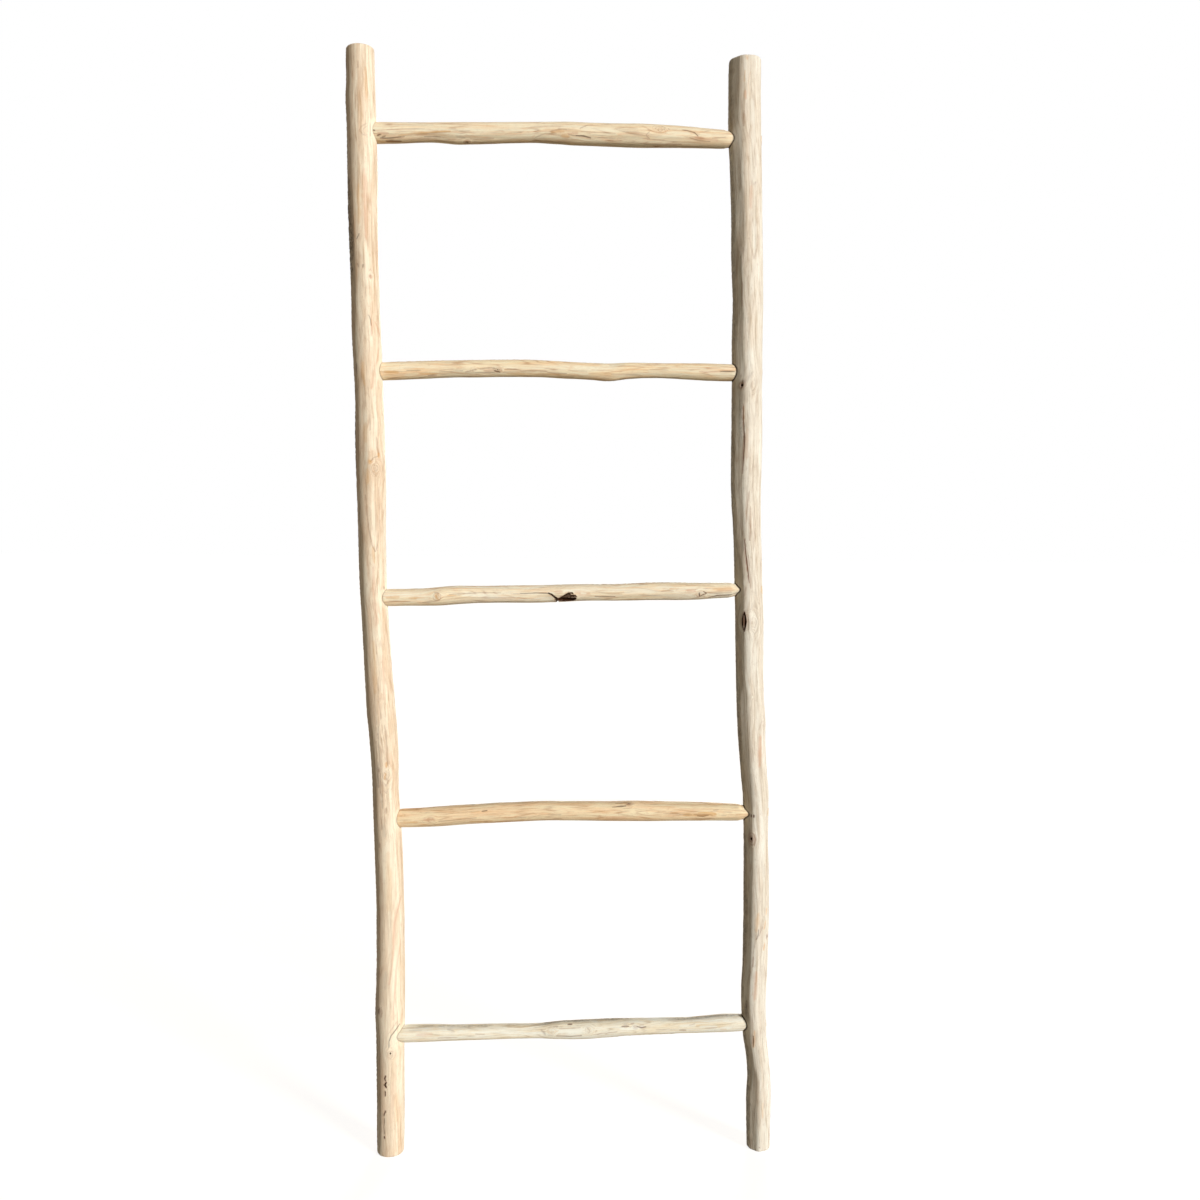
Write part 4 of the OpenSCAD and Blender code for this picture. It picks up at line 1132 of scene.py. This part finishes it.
def with_pocket(points, faces, sides, start, row, angle, row_scale, turn_scale):
    """The sheet with a round pocket for a plug, joined by a fan of rings to a square of cells."""
    width = sides + 1
    mid_row = int(round(row))
    mid_column = int(round((angle - start) % TURN / TURN * sides))
    index = np.array([i * width + j for i, j in pocket_loop(mid_row, mid_column)])
    i, j = faces[:, 0] // width, faces[:, 0] % width
    whole = faces[:, 0] < len(points)
    inside = (abs(i - mid_row + 0.5) < PATCH_CELLS) & (abs(j - mid_column + 0.5) < PATCH_CELLS)
    faces = faces[~(whole & inside)]
    corner = points[index]
    centre = np.array([row, start + (angle - start) % TURN, 0])
    bearing = np.arctan2((corner[:, 1] - centre[1]) * turn_scale, (corner[:, 0] - centre[0]) * row_scale)
    circle = np.stack([
        centre[0] + PLUG_HOLE_R / row_scale * np.cos(bearing),
        centre[1] + PLUG_HOLE_R / turn_scale * np.sin(bearing),
        np.zeros(len(bearing)),
    ], axis=1)
    rings = [corner + (circle - corner) * share for share in (0.3, 0.6, 0.85, 1.0)]
    for depth in (0.3 * MM, 2 * MM, PLUG_L):
        rings.append(circle + [0, 0, depth])
    for share in (0.5, 0.04):
        rings.append(centre + (circle - centre) * share + [0, 0, PLUG_L])
    count = len(index)
    joined = [index] + [len(points) + r * count + np.arange(count) for r in range(len(rings))]
    return np.concatenate([points] + rings), np.concatenate([faces, ring_faces(joined)])


def refined(points, faces, need_of):
    """The sheet with the cells halved once or twice where need_of asks for it."""
    sheet = bmesh.new()
    for point in points:
        sheet.verts.new(point)
    sheet.verts.ensure_lookup_table()
    for face in faces.tolist():
        sheet.faces.new([sheet.verts[i] for i in face])
    for level in (1, 2):
        sheet.verts.index_update()
        places = np.array([v.co for v in sheet.verts])
        wanted = need_of(places) >= level
        edges = [e for e in sheet.edges if wanted[e.verts[0].index] and wanted[e.verts[1].index]]
        if edges:
            bmesh.ops.subdivide_edges(
                sheet, edges=edges, cuts=1, use_grid_fill=True, use_single_edge=True)
    sheet.verts.index_update()
    places = np.array([v.co for v in sheet.verts])
    made = [[v.index for v in f.verts] for f in sheet.faces]
    sheet.free()
    return places, made


def mesh_piece(name, points, faces, values, replaced):
    """A piece of the ladder from points and faces, with its values stored on the points."""
    mesh = bpy.data.meshes.new(name)
    mesh.from_pydata(points.tolist(), [], faces)
    for key, data in values.items():
        vector = data.ndim == 2
        layer = mesh.attributes.new(key, "FLOAT_VECTOR" if vector else "FLOAT", "POINT")
        layer.data.foreach_set("vector" if vector else "value", data.astype(np.float32).ravel())
    work = bmesh.new()
    work.from_mesh(mesh)
    bmesh.ops.remove_doubles(work, verts=work.verts, dist=WELD)
    work.to_mesh(mesh)
    work.free()
    mesh.polygons.foreach_set("use_smooth", [True] * len(mesh.polygons))
    mesh.set_sharp_from_angle(angle=math.radians(SHARP))
    piece = bpy.data.objects.new(name, mesh)
    bpy.context.scene.collection.objects.link(piece)
    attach(piece, "root")
    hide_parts(*replaced)
    return piece


# Rows of a branch: place along it, share of its radius, and how far the skin is drawn in
def branch_rows(low, high, rounding, step):
    """The rows from one sawn end over its eased edge, along the branch and over the other end."""
    ends = [(0.0, share, rounding) for share in np.linspace(0, 1, CAP_RINGS)]
    for turn in np.linspace(0, math.pi / 2, EASE_RINGS + 1)[1:]:
        ends.append((rounding * (1 - math.cos(turn)), 1.0, rounding * (1 - math.sin(turn))))
    count = round((high - low - 2 * rounding) / step)
    middle = np.linspace(low + rounding, high - rounding, count + 1)[1:-1]
    rows = [(low + back, share, inset) for back, share, inset in ends]
    rows += [(s, 1.0, 0.0) for s in middle]
    rows += [(high - back, share, inset) for back, share, inset in reversed(ends)]
    return np.array(rows)


def row_values(rows, row):
    """What the rows say at places between them."""
    index = np.arange(len(rows))
    return [np.interp(row, index, rows[:, k]) for k in range(3)]


def end_checks(name, a, share):
    """Drying checks across a sawn end of a rail, from near the pith out to the rim."""
    found = np.zeros(len(a))
    for angle in END_CHECKS.get(name, ()):
        turn = abs((a - math.radians(angle) + math.pi) % TURN - math.pi)
        found = np.maximum(found, np.clip(1 - turn / math.radians(CHECK_WIDTH), 0, 1))
    return found * ease(share, 0.1, 0.4) * (share < 1)


def end_marks(values, name, s, a, r, share, inset, rounding):
    """Turns the values at a sawn end into end grain, with rings, a pith and drying checks."""
    end = np.where(share < 1, 1.0, ease(inset / rounding, 0.5, 1.0))
    wander = 0.5 * noise(s * 0, a, 1, 7, WOODS[name]["seed"] + END_RING_SEED)
    rings = r / END_RING_STEP + wander * share
    values["ring"] = values["ring"] * (1 - end) + rings * end
    values["end"] = end
    for key in ("tint", "spots"):
        values[key] = values[key] * (1 - end[:, None])
    values["spots"][:, 1] += end * bell(r, PITH_R)
    values["spots"][:, 2] += 0.6 * end_checks(name, a, share)
    values["bast"] = values["bast"] * (1 - end)
    flat = np.stack([r * np.cos(a), r * np.sin(a), s], axis=1)
    values["grain"] = values["grain"] * (1 - end[:, None]) + flat * end[:, None]


def thinned(name, near_low, near_high, a):
    """How much a rung is whittled near its ends, at angles round it."""
    thin = 0
    for near, (amount, long, point) in zip((near_low, near_high), WHITTLED[name]):
        here = amount + point * (1 - np.cos(4 * a)) / 2
        thin = thin + here * MM * ease(near, 1 - long * MM / COPE_REACH, 1)
    return thin


def from_rungs(stem, a, points, rungs):
    """Distance of places on a rail from the outlines of the rung ends that meet it."""
    low_end = stem.name == "left_rail"
    far = np.full(len(points), 1.0)
    inner = np.cos(a) * (1 if low_end else -1) > 0
    for rung in rungs.values():
        local = points - np.array(rung.origin)
        along, side, up = (local @ np.array(axis) for axis in (rung.ahead, rung.side, rung.up))
        s = np.full(len(points), rung.steps[0] if low_end else rung.steps[-1])
        side -= np.interp(s, rung.steps, rung.centres[:, 0])
        up -= np.interp(s, rung.steps, rung.centres[:, 1])
        turn = np.arctan2(up, side)
        edge = rung.radius(s, turn) - thinned(rung.name, float(low_end), float(not low_end), turn)
        here = np.hypot(side, up) - edge
        far = np.where(inner & (here < far), here, far)
    return far


def joint_marks(stem, a, points, values, rungs):
    """The painted shade in the crevice and the sanded halo round the rung ends, added to the values of a
    rail.
    """
    far = from_rungs(stem, a, points, rungs)
    # Painted shade: a dark band on the rail that hugs the outline of each rung end
    dark, reach = CREVICE_SHADE[stem.name]
    crevice_shade = dark * bell(np.maximum(far, 0), reach * MM)
    pale, wide = HALO[stem.name]
    halo = pale * (1 - ease(far, 0.6 * wide * MM, wide * MM)) * (far > 0)
    values["spots"][:, 2] = np.maximum(values["spots"][:, 2], crevice_shade)
    values["spots"][:, 0] = np.maximum(values["spots"][:, 0], halo)
    values["spots"][:, 1] *= 1 - 0.4 * halo
    values["tint"] *= 1 - 0.4 * halo[:, None]


def rail_surface(stem, rows, places, rungs):
    """Points and values of a rail at arrays of rows, angles and depths."""
    row, a, depth = places.T
    s, share, inset = row_values(rows, row)
    relief, values = marks(stem, s, a)
    r = (stem.radius(s, a) + relief - inset) * share
    slant = TOP_SLANT.get(stem.name, 0) * ease(s, stem.top - SLANT_REACH, stem.top)
    z = s - slant * (1 - share * np.cos(a)) / 2
    seed = WOODS[stem.name]["seed"] + SAW_SEED
    saw = SAW_DEPTH * noise(s + r * np.cos(a), a, 2 * MM, 9, seed)
    sunk = np.where(share < 1, abs(saw), 0) + CHECK_DEPTH * end_checks(stem.name, a, share)
    z += np.where(s > stem.top / 2, -1, 1) * sunk
    end_marks(values, stem.name, s, a, r, share, inset, RAIL_EASE)
    outward = np.array([math.cos(math.radians(OUTSIDE[stem.name])), 0, 0])
    points = stem.place(z, a, r) - depth[:, None] * outward
    joint_marks(stem, a, points, values, rungs)
    return points, values


def plug_places(name, stem):
    """The five places and angles of the plugs of a rail."""
    side = name.split("_")[0]
    spots = []
    for n in range(1, 6):
        low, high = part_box(f"{side}_plug_{n}")
        middle = (low + high) / 2
        x, y = (np.interp(middle.z, stem.steps, stem.centres[:, k]) for k in (0, 1))
        angle = math.atan2(middle.y - stem.origin.y - y, middle.x - stem.origin.x - x)
        spots.append((n, middle.z, angle))
    return spots


def make_rail(name, rungs):
    """A rail with its dowels, and a tree of its skin that the rungs end on."""
    stem = rail_stem(name)
    stem.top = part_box(name)[1].z
    rows = branch_rows(0, stem.top, RAIL_EASE, RAIL_STEP)
    start = math.radians(90)
    points, faces = sheet_of(len(rows), RAIL_SIDES, start)
    spots = plug_places(name, stem)

    def row_of(s):
        return float(np.interp(s, rows[:, 0], np.arange(len(rows))))

    for n, z, angle in spots:
        r = float(stem.radius(np.array([z]), np.array([angle]))[0])
        points, faces = with_pocket(points, faces, RAIL_SIDES, start, row_of(z), angle, RAIL_STEP, r)

    def need(places):
        s, share, _ = row_values(rows, places[:, 0])
        a = places[:, 1]
        far = from_rungs(stem, a, stem.place(s, a, stem.radius(s, a)), rungs)
        joint = np.where(far < 0, 0, far < FINE_JOINT[1])
        joint = np.where(abs(far) < FINE_JOINT[0], 2, joint)
        wanted = np.maximum(fine_places(stem, s, a), joint)
        return np.where((share < 1) | (places[:, 2] > 0), 0, wanted)

    places, faces = refined(points, faces, need)
    points, values = rail_surface(stem, rows, places, rungs)
    piece = mesh_piece(f"{name}_branch", points, faces, values, [name])
    tree = BVHTree.FromPolygons([Vector(p) for p in points.tolist()], faces)
    for n, z, angle in spots:
        make_plug(name, stem, rows, n, row_of(z), angle, rungs)
    return stem, piece, tree


def make_plug(name, stem, rows, n, row, angle, rungs):
    """A dowel that closes a screw hole, cut flush with the skin of the rail."""
    side = name.split("_")[0]
    turn = np.arange(PLUG_SIDES) / PLUG_SIDES * TURN
    r = float(stem.radius(np.array([row * RAIL_STEP]), np.array([angle]))[0])
    places, spots = [], []
    for share, depth in PLUG_RINGS:
        along, round_it = share * PLUG_R * np.cos(turn), share * PLUG_R * np.sin(turn)
        places.append(np.stack([row + along / RAIL_STEP, angle + round_it / r, turn * 0 + depth], axis=1))
        spots.append(np.stack([round_it, along, turn * 0 + depth], axis=1))
    places, spots = np.concatenate(places), np.concatenate(spots)
    points, _ = rail_surface(stem, rows, places, rungs)
    faces = ring_faces([k * PLUG_SIDES + np.arange(PLUG_SIDES) for k in range(len(PLUG_RINGS))]).tolist()
    rings = np.hypot(spots[:, 0] - PLUG_PITH[0], spots[:, 1] - PLUG_PITH[1]) / RING_STEP
    values = {"grain": spots, "ring": rings}
    mesh_piece(f"{side}_plug_dowel_{n}", points, faces, values, [f"{side}_plug_{n}"])


def cope_table(stem, end, tree, gap):
    """Where the end of a rung meets its rail, for shares of its radius and angles round it."""
    inside = stem.steps[0] if end < 0 else stem.steps[-1]
    inside -= end * COPE_START
    shares = np.linspace(0, 1, CAP_RINGS)
    turn = np.arange(COPE_SIDES) / COPE_SIDES * TURN
    table = np.full((len(shares), COPE_SIDES), np.nan)
    for i, share in enumerate(shares):
        at_end = np.full(COPE_SIDES, inside + end * COPE_SAMPLE)
        radius = stem.radius(at_end, turn) - thinned(stem.name, float(end < 0), float(end > 0), turn)
        points = stem.place(at_end - end * COPE_SAMPLE, turn, radius * share)
        for k, point in enumerate(points):
            hit = tree.ray_cast(Vector(point), stem.ahead * end)
            if hit[0] is not None:
                table[i, k] = inside + end * (hit[3] - gap)
        good = ~np.isnan(table[i])
        table[i] = np.interp(turn, turn[good], table[i][good], period=TURN)
    return table


def cope_at(table, share, a):
    """Places of a rung's end, from its table."""
    return looked_up(table, share * (len(table) - 1), (a / TURN % 1) * COPE_SIDES)


def make_rung(stem, rails):
    """A rung whose ends follow the skins of the two rails."""
    name = stem.name
    copes = [cope_table(stem, end, rail[2], gap) for end, rail, gap in zip((-1, 1), rails, COPE_GAP)]
    low, high = (float(table[-1].mean()) for table in copes)
    rows = branch_rows(low, high, RUNG_EASE, RUNG_STEP)
    start = math.radians(RUNG_SEAM)
    points, faces = sheet_of(len(rows), RUNG_SIDES, start)

    def spread(places):
        s, share, inset = row_values(rows, places[:, 0])
        a = places[:, 1]
        near_low = 1 - np.clip((s - low) / COPE_REACH, 0, 1)
        near_high = 1 - np.clip((high - s) / COPE_REACH, 0, 1)
        moved = s + near_low * (cope_at(copes[0], share, a) - low)
        moved += near_high * (cope_at(copes[1], share, a) - high)
        return moved, share, inset, np.maximum(near_low, 0), near_high

    def need(places):
        s, share, *_ = spread(places)
        return np.where(share < 1, 0, fine_places(stem, s, places[:, 1]))

    places, faces = refined(points, faces, need)
    s, share, inset, near_low, near_high = spread(places)
    a = places[:, 1]
    relief, values = marks(stem, s, a)
    relief = relief * (1 - ease(np.maximum(near_low, near_high), 0.9, 1.0))
    relief -= thinned(name, near_low, near_high, a)
    r = (stem.radius(s, a) + relief - inset) * share
    end_marks(values, name, s, a, r, share, inset, RUNG_EASE)
    # Painted shade: a dark rim round each end of the rung, where it meets its rail
    for near, width, dark in zip((near_low, near_high), RIM_SHADE_WIDTH, RIM_SHADE):
        rim = ease(near, 1 - width / COPE_REACH, 1) * dark
        values["spots"][:, 2] = np.maximum(values["spots"][:, 2], rim)
    points = stem.place(s, a, r)
    piece = mesh_piece(f"{name}_branch", points, faces, values, [name])
    return stem, piece


# Materials
class Shader:
    """The nodes of a material, with short ways to add and join them."""

    def __init__(self, name):
        self.material = bpy.data.materials.new(name)
        self.material.use_nodes = True
        self.tree = self.material.node_tree
        self.tree.nodes.clear()
        self.surface = self.tree.nodes.new("ShaderNodeBsdfPrincipled")
        output = self.tree.nodes.new("ShaderNodeOutputMaterial")
        self.tree.links.new(self.surface.outputs[0], output.inputs["Surface"])

    def put(self, socket, value):
        if isinstance(value, bpy.types.NodeSocket):
            self.tree.links.new(value, socket)
        else:
            socket.default_value = value

    def attribute(self, name, output="Fac"):
        node = self.tree.nodes.new("ShaderNodeAttribute")
        node.attribute_name = name
        return node.outputs[output]

    def math(self, operation, a, b=0.0, clamp=False):
        node = self.tree.nodes.new("ShaderNodeMath")
        node.operation, node.use_clamp = operation, clamp
        self.put(node.inputs[0], a)
        self.put(node.inputs[1], b)
        return node.outputs[0]

    def times(self, a, b, clamp=False):
        return self.math("MULTIPLY", a, b, clamp)

    def plus(self, a, b):
        return self.math("ADD", a, b)

    def minus(self, a, b):
        return self.math("SUBTRACT", a, b)

    def between(self, value, low, high, bottom=0.0, top=1.0):
        node = self.tree.nodes.new("ShaderNodeMapRange")
        node.interpolation_type = "SMOOTHSTEP"
        for socket, data in zip(node.inputs, (value, low, high, bottom, top)):
            self.put(socket, data)
        return node.outputs[0]

    def mix(self, share, a, b, blend="MIX"):
        node = self.tree.nodes.new("ShaderNodeMix")
        node.data_type, node.blend_type = "RGBA", blend
        self.put(node.inputs["Factor"], share)
        self.put(node.inputs[6], a)
        self.put(node.inputs[7], b)
        return node.outputs[2]

    def split(self, vector):
        node = self.tree.nodes.new("ShaderNodeSeparateXYZ")
        self.put(node.inputs[0], vector)
        return node.outputs

    def scaled(self, vector, x, y, z, shift=(0, 0, 0)):
        node = self.tree.nodes.new("ShaderNodeMapping")
        node.inputs["Scale"].default_value = (x, y, z)
        node.inputs["Location"].default_value = shift
        self.put(node.inputs["Vector"], vector)
        return node.outputs[0]

    def noise(self, vector, detail=2.0, roughness=0.5, distortion=0.0):
        node = self.tree.nodes.new("ShaderNodeTexNoise")
        node.inputs["Scale"].default_value = 1.0
        node.inputs["Detail"].default_value = detail
        node.inputs["Roughness"].default_value = roughness
        node.inputs["Distortion"].default_value = distortion
        self.put(node.inputs["Vector"], vector)
        return node.outputs["Fac"]

    def bump(self, height, distance, strength=1.0, normal=None):
        node = self.tree.nodes.new("ShaderNodeBump")
        node.inputs["Strength"].default_value = strength
        node.inputs["Distance"].default_value = distance
        self.put(node.inputs["Height"], height)
        if normal is not None:
            self.put(node.inputs["Normal"], normal)
        return node.outputs[0]

    def finish(self, colour, roughness, specular, normal=None, metal=0.0):
        self.put(self.surface.inputs["Base Color"], colour)
        self.put(self.surface.inputs["Roughness"], roughness)
        self.put(self.surface.inputs["Specular IOR Level"], specular)
        self.put(self.surface.inputs["Metallic"], metal)
        if normal is not None:
            self.put(self.surface.inputs["Normal"], normal)
        return self.material


def wood_material(name, wood):
    """Peeled wood: long streaks, ring lines, fibres, pores, knots, stains, painted shade and sawn end grain.
    """
    m = Shader(name)
    own = tuple(wood["seed"] * step for step in SEED_SHIFT)
    grain = m.attribute("grain", "Vector")
    noises = {key: m.noise(m.scaled(grain, across, across, along, shift or own), *rest)
              for key, (across, along, shift, *rest) in WOOD_NOISES.items()}
    broad, patches, streaks, lines, threads, fibres, pores, grit, _ = noises.values()
    ring = m.plus(m.attribute("ring"), m.times(m.minus(streaks, 0.5), 0.9))
    line = m.math("POWER", m.times(m.plus(m.math("SINE", m.times(ring, TURN)), 1.0), 0.5), 5.0)
    tones = {key: rgb(*wood[key]) for key in ("pale", "base", "streak", "peach", "line")}
    colour = m.mix(m.between(broad, 0.36, 0.66), tones["base"], tones["pale"])
    colour = m.mix(m.between(patches, 0.50, 0.72, 0.0, wood["warm"]), colour, tones["peach"])
    for key, low, high, strength, tone in WOOD_LAYERS:
        colour = m.mix(m.between(noises[key], low, high, 0.0, strength), colour, tones[tone])
    strong = m.between(patches, 0.35, 0.7, 0.1 * wood["rings"], wood["rings"])
    colour = m.mix(m.times(line, strong), colour, tones["line"])
    colour = m.mix(1.0, colour, m.between(fibres, 0.25, 0.75, 0.90, 1.06), "MULTIPLY")
    pits = m.between(pores, 0.66, 0.78, 0.0, 0.5)
    colour = m.mix(pits, colour, rgb(*PIT))
    colour = m.mix(m.between(grit, 0.62, 0.80, 0.0, 0.4), colour, rgb(*FLECK))
    uneven = m.between(threads, 0.3, 0.7, 0.6, 1.0)
    for share, tint in zip(m.split(m.attribute("tint", "Vector")), (ROSE, GOLD, GREY)):
        colour = m.mix(m.times(share, m.times(uneven, 0.85), True), colour, rgb(*tint))
    pale_spot, brown_spot, dark_spot = m.split(m.attribute("spots", "Vector"))
    colour = m.mix(m.times(pale_spot, 0.75, True), colour, tones["pale"])
    # Bast, and the shade painted along the left sides of the rails
    bast = m.times(m.attribute("bast"), m.between(grit, 0.25, 0.65, 0.45, 1.0), True)
    colour = m.mix(bast, colour, rgb(*BAST_AND_SHADE_TONE))
    brown = m.times(brown_spot, m.between(threads, 0.25, 0.75, 0.7, 1.1), True)
    # The dark spots hold knots, cracks and dark strokes, and the painted shade round the rung ends
    dark = m.times(dark_spot, m.between(grit, 0.2, 0.6, 0.85, 1.05), True)
    sawn = m.mix(m.times(line, 0.75), rgb(*END_TONES["pale"]), rgb(*END_TONES["ring"]))
    sawn = m.mix(m.between(grit, 0.4, 0.8, 0.0, 0.3), sawn, rgb(*END_TONES["grit"]))
    for share, tone in ((brown, BROWN), (dark, DARK)):
        colour, sawn = m.mix(share, colour, rgb(*tone)), m.mix(share, sawn, rgb(*tone))
    colour = m.mix(m.attribute("end"), colour, sawn)
    rough = m.plus(m.between(streaks, 0.3, 0.7, 0.60, 0.76), m.times(dark, 0.15))
    height = m.plus(m.times(threads, 0.5), m.times(fibres, 0.22))
    height = m.minus(height, m.times(pits, 0.8))
    height = m.plus(height, m.times(m.plus(streaks, lines), 0.6))
    height = m.plus(height, m.times(bast, m.times(grit, 2.0)))
    gloss = m.minus(0.22, m.times(dark, 0.2))
    return m.finish(colour, rough, gloss, m.bump(height, BUMP_HEIGHTS["wood"]))


def plug_material():
    """A dowel cut across: rings, rays and pores."""
    m = Shader("plug_wood")
    grain = m.attribute("grain", "Vector")
    fine = m.noise(m.scaled(grain, 2200, 2200, 2200), 3, 0.6)
    pores = m.noise(m.scaled(grain, 5200, 5200, 5200), 1, 0.5)
    ring = m.plus(m.attribute("ring"), m.times(fine, 0.25))
    wave = m.math("ABSOLUTE", m.math("SINE", m.times(ring, TURN)))
    pale, dark, pore, fleck = (rgb(*tone) for tone in PLUG_TONES.values())
    colour = m.mix(m.times(wave, 0.5), pale, dark)
    colour = m.mix(m.between(pores, 0.6, 0.75, 0.0, 0.5), colour, pore)
    colour = m.mix(m.between(fine, 0.45, 0.8, 0.0, 0.4), colour, fleck)
    height = m.minus(fine, m.between(pores, 0.6, 0.75, 0.0, 0.8))
    bump = m.bump(height, BUMP_HEIGHTS["plug"])
    return m.finish(colour, m.between(fine, 0.3, 0.7, 0.6, 0.78), 0.2, bump)


def steel_material():
    """Zinc-plated steel with fine turning marks and a faint warm tarnish."""
    m = Shader("screw_steel")
    place = m.tree.nodes.new("ShaderNodeTexCoord").outputs["Object"]
    turned = m.noise(m.scaled(place, 9000, 300, 300), 2, 0.5)
    cloudy = m.noise(m.scaled(place, 350, 350, 350), 4, 0.6)
    specks = m.noise(m.scaled(place, 2400, 2400, 2400), 2, 0.6)
    cool, warm, speck = (rgb(*tone) for tone in STEEL_TONES.values())
    colour = m.mix(cloudy, cool, warm)
    colour = m.mix(m.between(specks, 0.62, 0.75, 0.0, 0.4), colour, speck)
    rough = m.between(cloudy, 0.3, 0.7, 0.26, 0.46)
    return m.finish(colour, rough, 0.5, m.bump(turned, BUMP_HEIGHTS["steel"], 0.6), 1.0)


# Stage
def lamp(name, azimuth, height, level, softness, tint=(1.0, 1.0, 1.0)):
    """A far lamp. At level 1 it shows a surface that faces it in the colour that is written for it."""
    light = bpy.data.lights.new(name, "SUN")
    light.color = tint
    light.energy = level * math.pi
    light.angle = math.radians(softness)
    az, el = math.radians(azimuth), math.radians(height)
    toward = Vector((math.sin(az) * math.cos(el), -math.cos(az) * math.cos(el), math.sin(el)))
    holder = bpy.data.objects.new(name, light)
    holder.rotation_euler = toward.to_track_quat("Z", "Y").to_euler()
    bpy.context.scene.collection.objects.link(holder)


def seen_rays(tree):
    """1 for rays from the camera, mirrors and glass, 0 for light that falls on things."""
    path = tree.nodes.new("ShaderNodeLightPath")
    total = path.outputs["Is Camera Ray"]
    for name in ("Is Glossy Ray", "Is Transmission Ray"):
        node = tree.nodes.new("ShaderNodeMath")
        node.operation = "MAXIMUM"
        tree.links.new(total, node.inputs[0])
        tree.links.new(path.outputs[name], node.inputs[1])
        total = node.outputs[0]
    return total


def make_sky():
    """A world that looks white and gives a faint warm light."""
    world = bpy.data.worlds.new("sky")
    bpy.context.scene.world = world
    world.use_nodes = True
    tree = world.node_tree
    background = tree.nodes["Background"]
    blend = tree.nodes.new("ShaderNodeMix")
    blend.data_type = "RGBA"
    tree.links.new(seen_rays(tree), blend.inputs["Factor"])
    blend.inputs[6].default_value = (*SKY_FILL, 1.0)
    blend.inputs[7].default_value = (1.0, 1.0, 1.0, 1.0)
    tree.links.new(blend.outputs[2], background.inputs["Color"])


def make_floor():
    """A pale floor that looks nearly white and keeps the shadow of the ladder."""
    mesh = bpy.data.meshes.new("floor")
    reach = FLOOR_REACH
    corners = [(-reach, -reach, 0), (reach, -reach, 0), (reach, reach, 0), (-reach, reach, 0)]
    mesh.from_pydata(corners, [], [(0, 1, 2, 3)])
    floor = bpy.data.objects.new("floor", mesh)
    bpy.context.scene.collection.objects.link(floor)
    material = bpy.data.materials.new("floor_paper")
    material.use_nodes = True
    tree = material.node_tree
    tree.nodes.clear()
    paper = tree.nodes.new("ShaderNodeBsdfDiffuse")
    paper.inputs["Color"].default_value = (*FLOOR_TONE, 1.0)
    glow = tree.nodes.new("ShaderNodeEmission")
    glow.inputs["Color"].default_value = (1.0, 1.0, 1.0, 1.0)
    lift = tree.nodes.new("ShaderNodeMath")
    lift.operation = "MULTIPLY"
    lift.inputs[1].default_value = FLOOR_LIFT
    tree.links.new(seen_rays(tree), lift.inputs[0])
    tree.links.new(lift.outputs[0], glow.inputs["Strength"])
    both = tree.nodes.new("ShaderNodeAddShader")
    tree.links.new(paper.outputs[0], both.inputs[0])
    tree.links.new(glow.outputs[0], both.inputs[1])
    output = tree.nodes.new("ShaderNodeOutputMaterial")
    tree.links.new(both.outputs[0], output.inputs["Surface"])
    mesh.materials.append(material)


def make_camera():
    """The camera at the photograph's viewing angle."""
    data = bpy.data.cameras.new("camera")
    data.lens = LENS
    data.sensor_width = SENSOR
    camera = bpy.data.objects.new("camera", data)
    yaw, pitch, roll = (math.radians(v) for v in (CAMERA_YAW, CAMERA_PITCH, CAMERA_ROLL))
    ahead = Vector((math.sin(yaw) * math.cos(pitch), math.cos(yaw) * math.cos(pitch), math.sin(pitch)))
    level = Vector((math.cos(yaw), -math.sin(yaw), 0))
    over = level.cross(ahead)
    right = level * math.cos(roll) + over * math.sin(roll)
    up = over * math.cos(roll) - level * math.sin(roll)
    camera.matrix_world = Matrix.Translation(CAMERA_AT) @ Matrix((right, up, -ahead)).transposed().to_4x4()
    bpy.context.scene.collection.objects.link(camera)
    bpy.context.scene.camera = camera


make_camera()
make_sky()
make_floor()
lamp("key", *KEY_LAMP, KEY_TINT)
lamp("front_fill", *FRONT_LAMP)
lamp("back_fill", *BACK_LAMP)
bpy.context.scene.view_settings.view_transform = "Standard"

rung_stems = {name: rung_stem(name) for name in RUNGS}
rails = [make_rail(name, rung_stems) for name in RAILS]
rungs = [make_rung(stem, rails) for stem in rung_stems.values()]
for stem, piece, *_ in rails + rungs:
    piece.data.materials.append(wood_material(f"{stem.name}_skin", WOODS[stem.name]))
dowels = plug_material()
for piece in bpy.data.objects:
    if "_plug_dowel_" in piece.name:
        piece.data.materials.append(dowels)
screws = frame["nodes"]["rung_screws"]
screws.data.materials.clear()
screws.data.materials.append(steel_material())
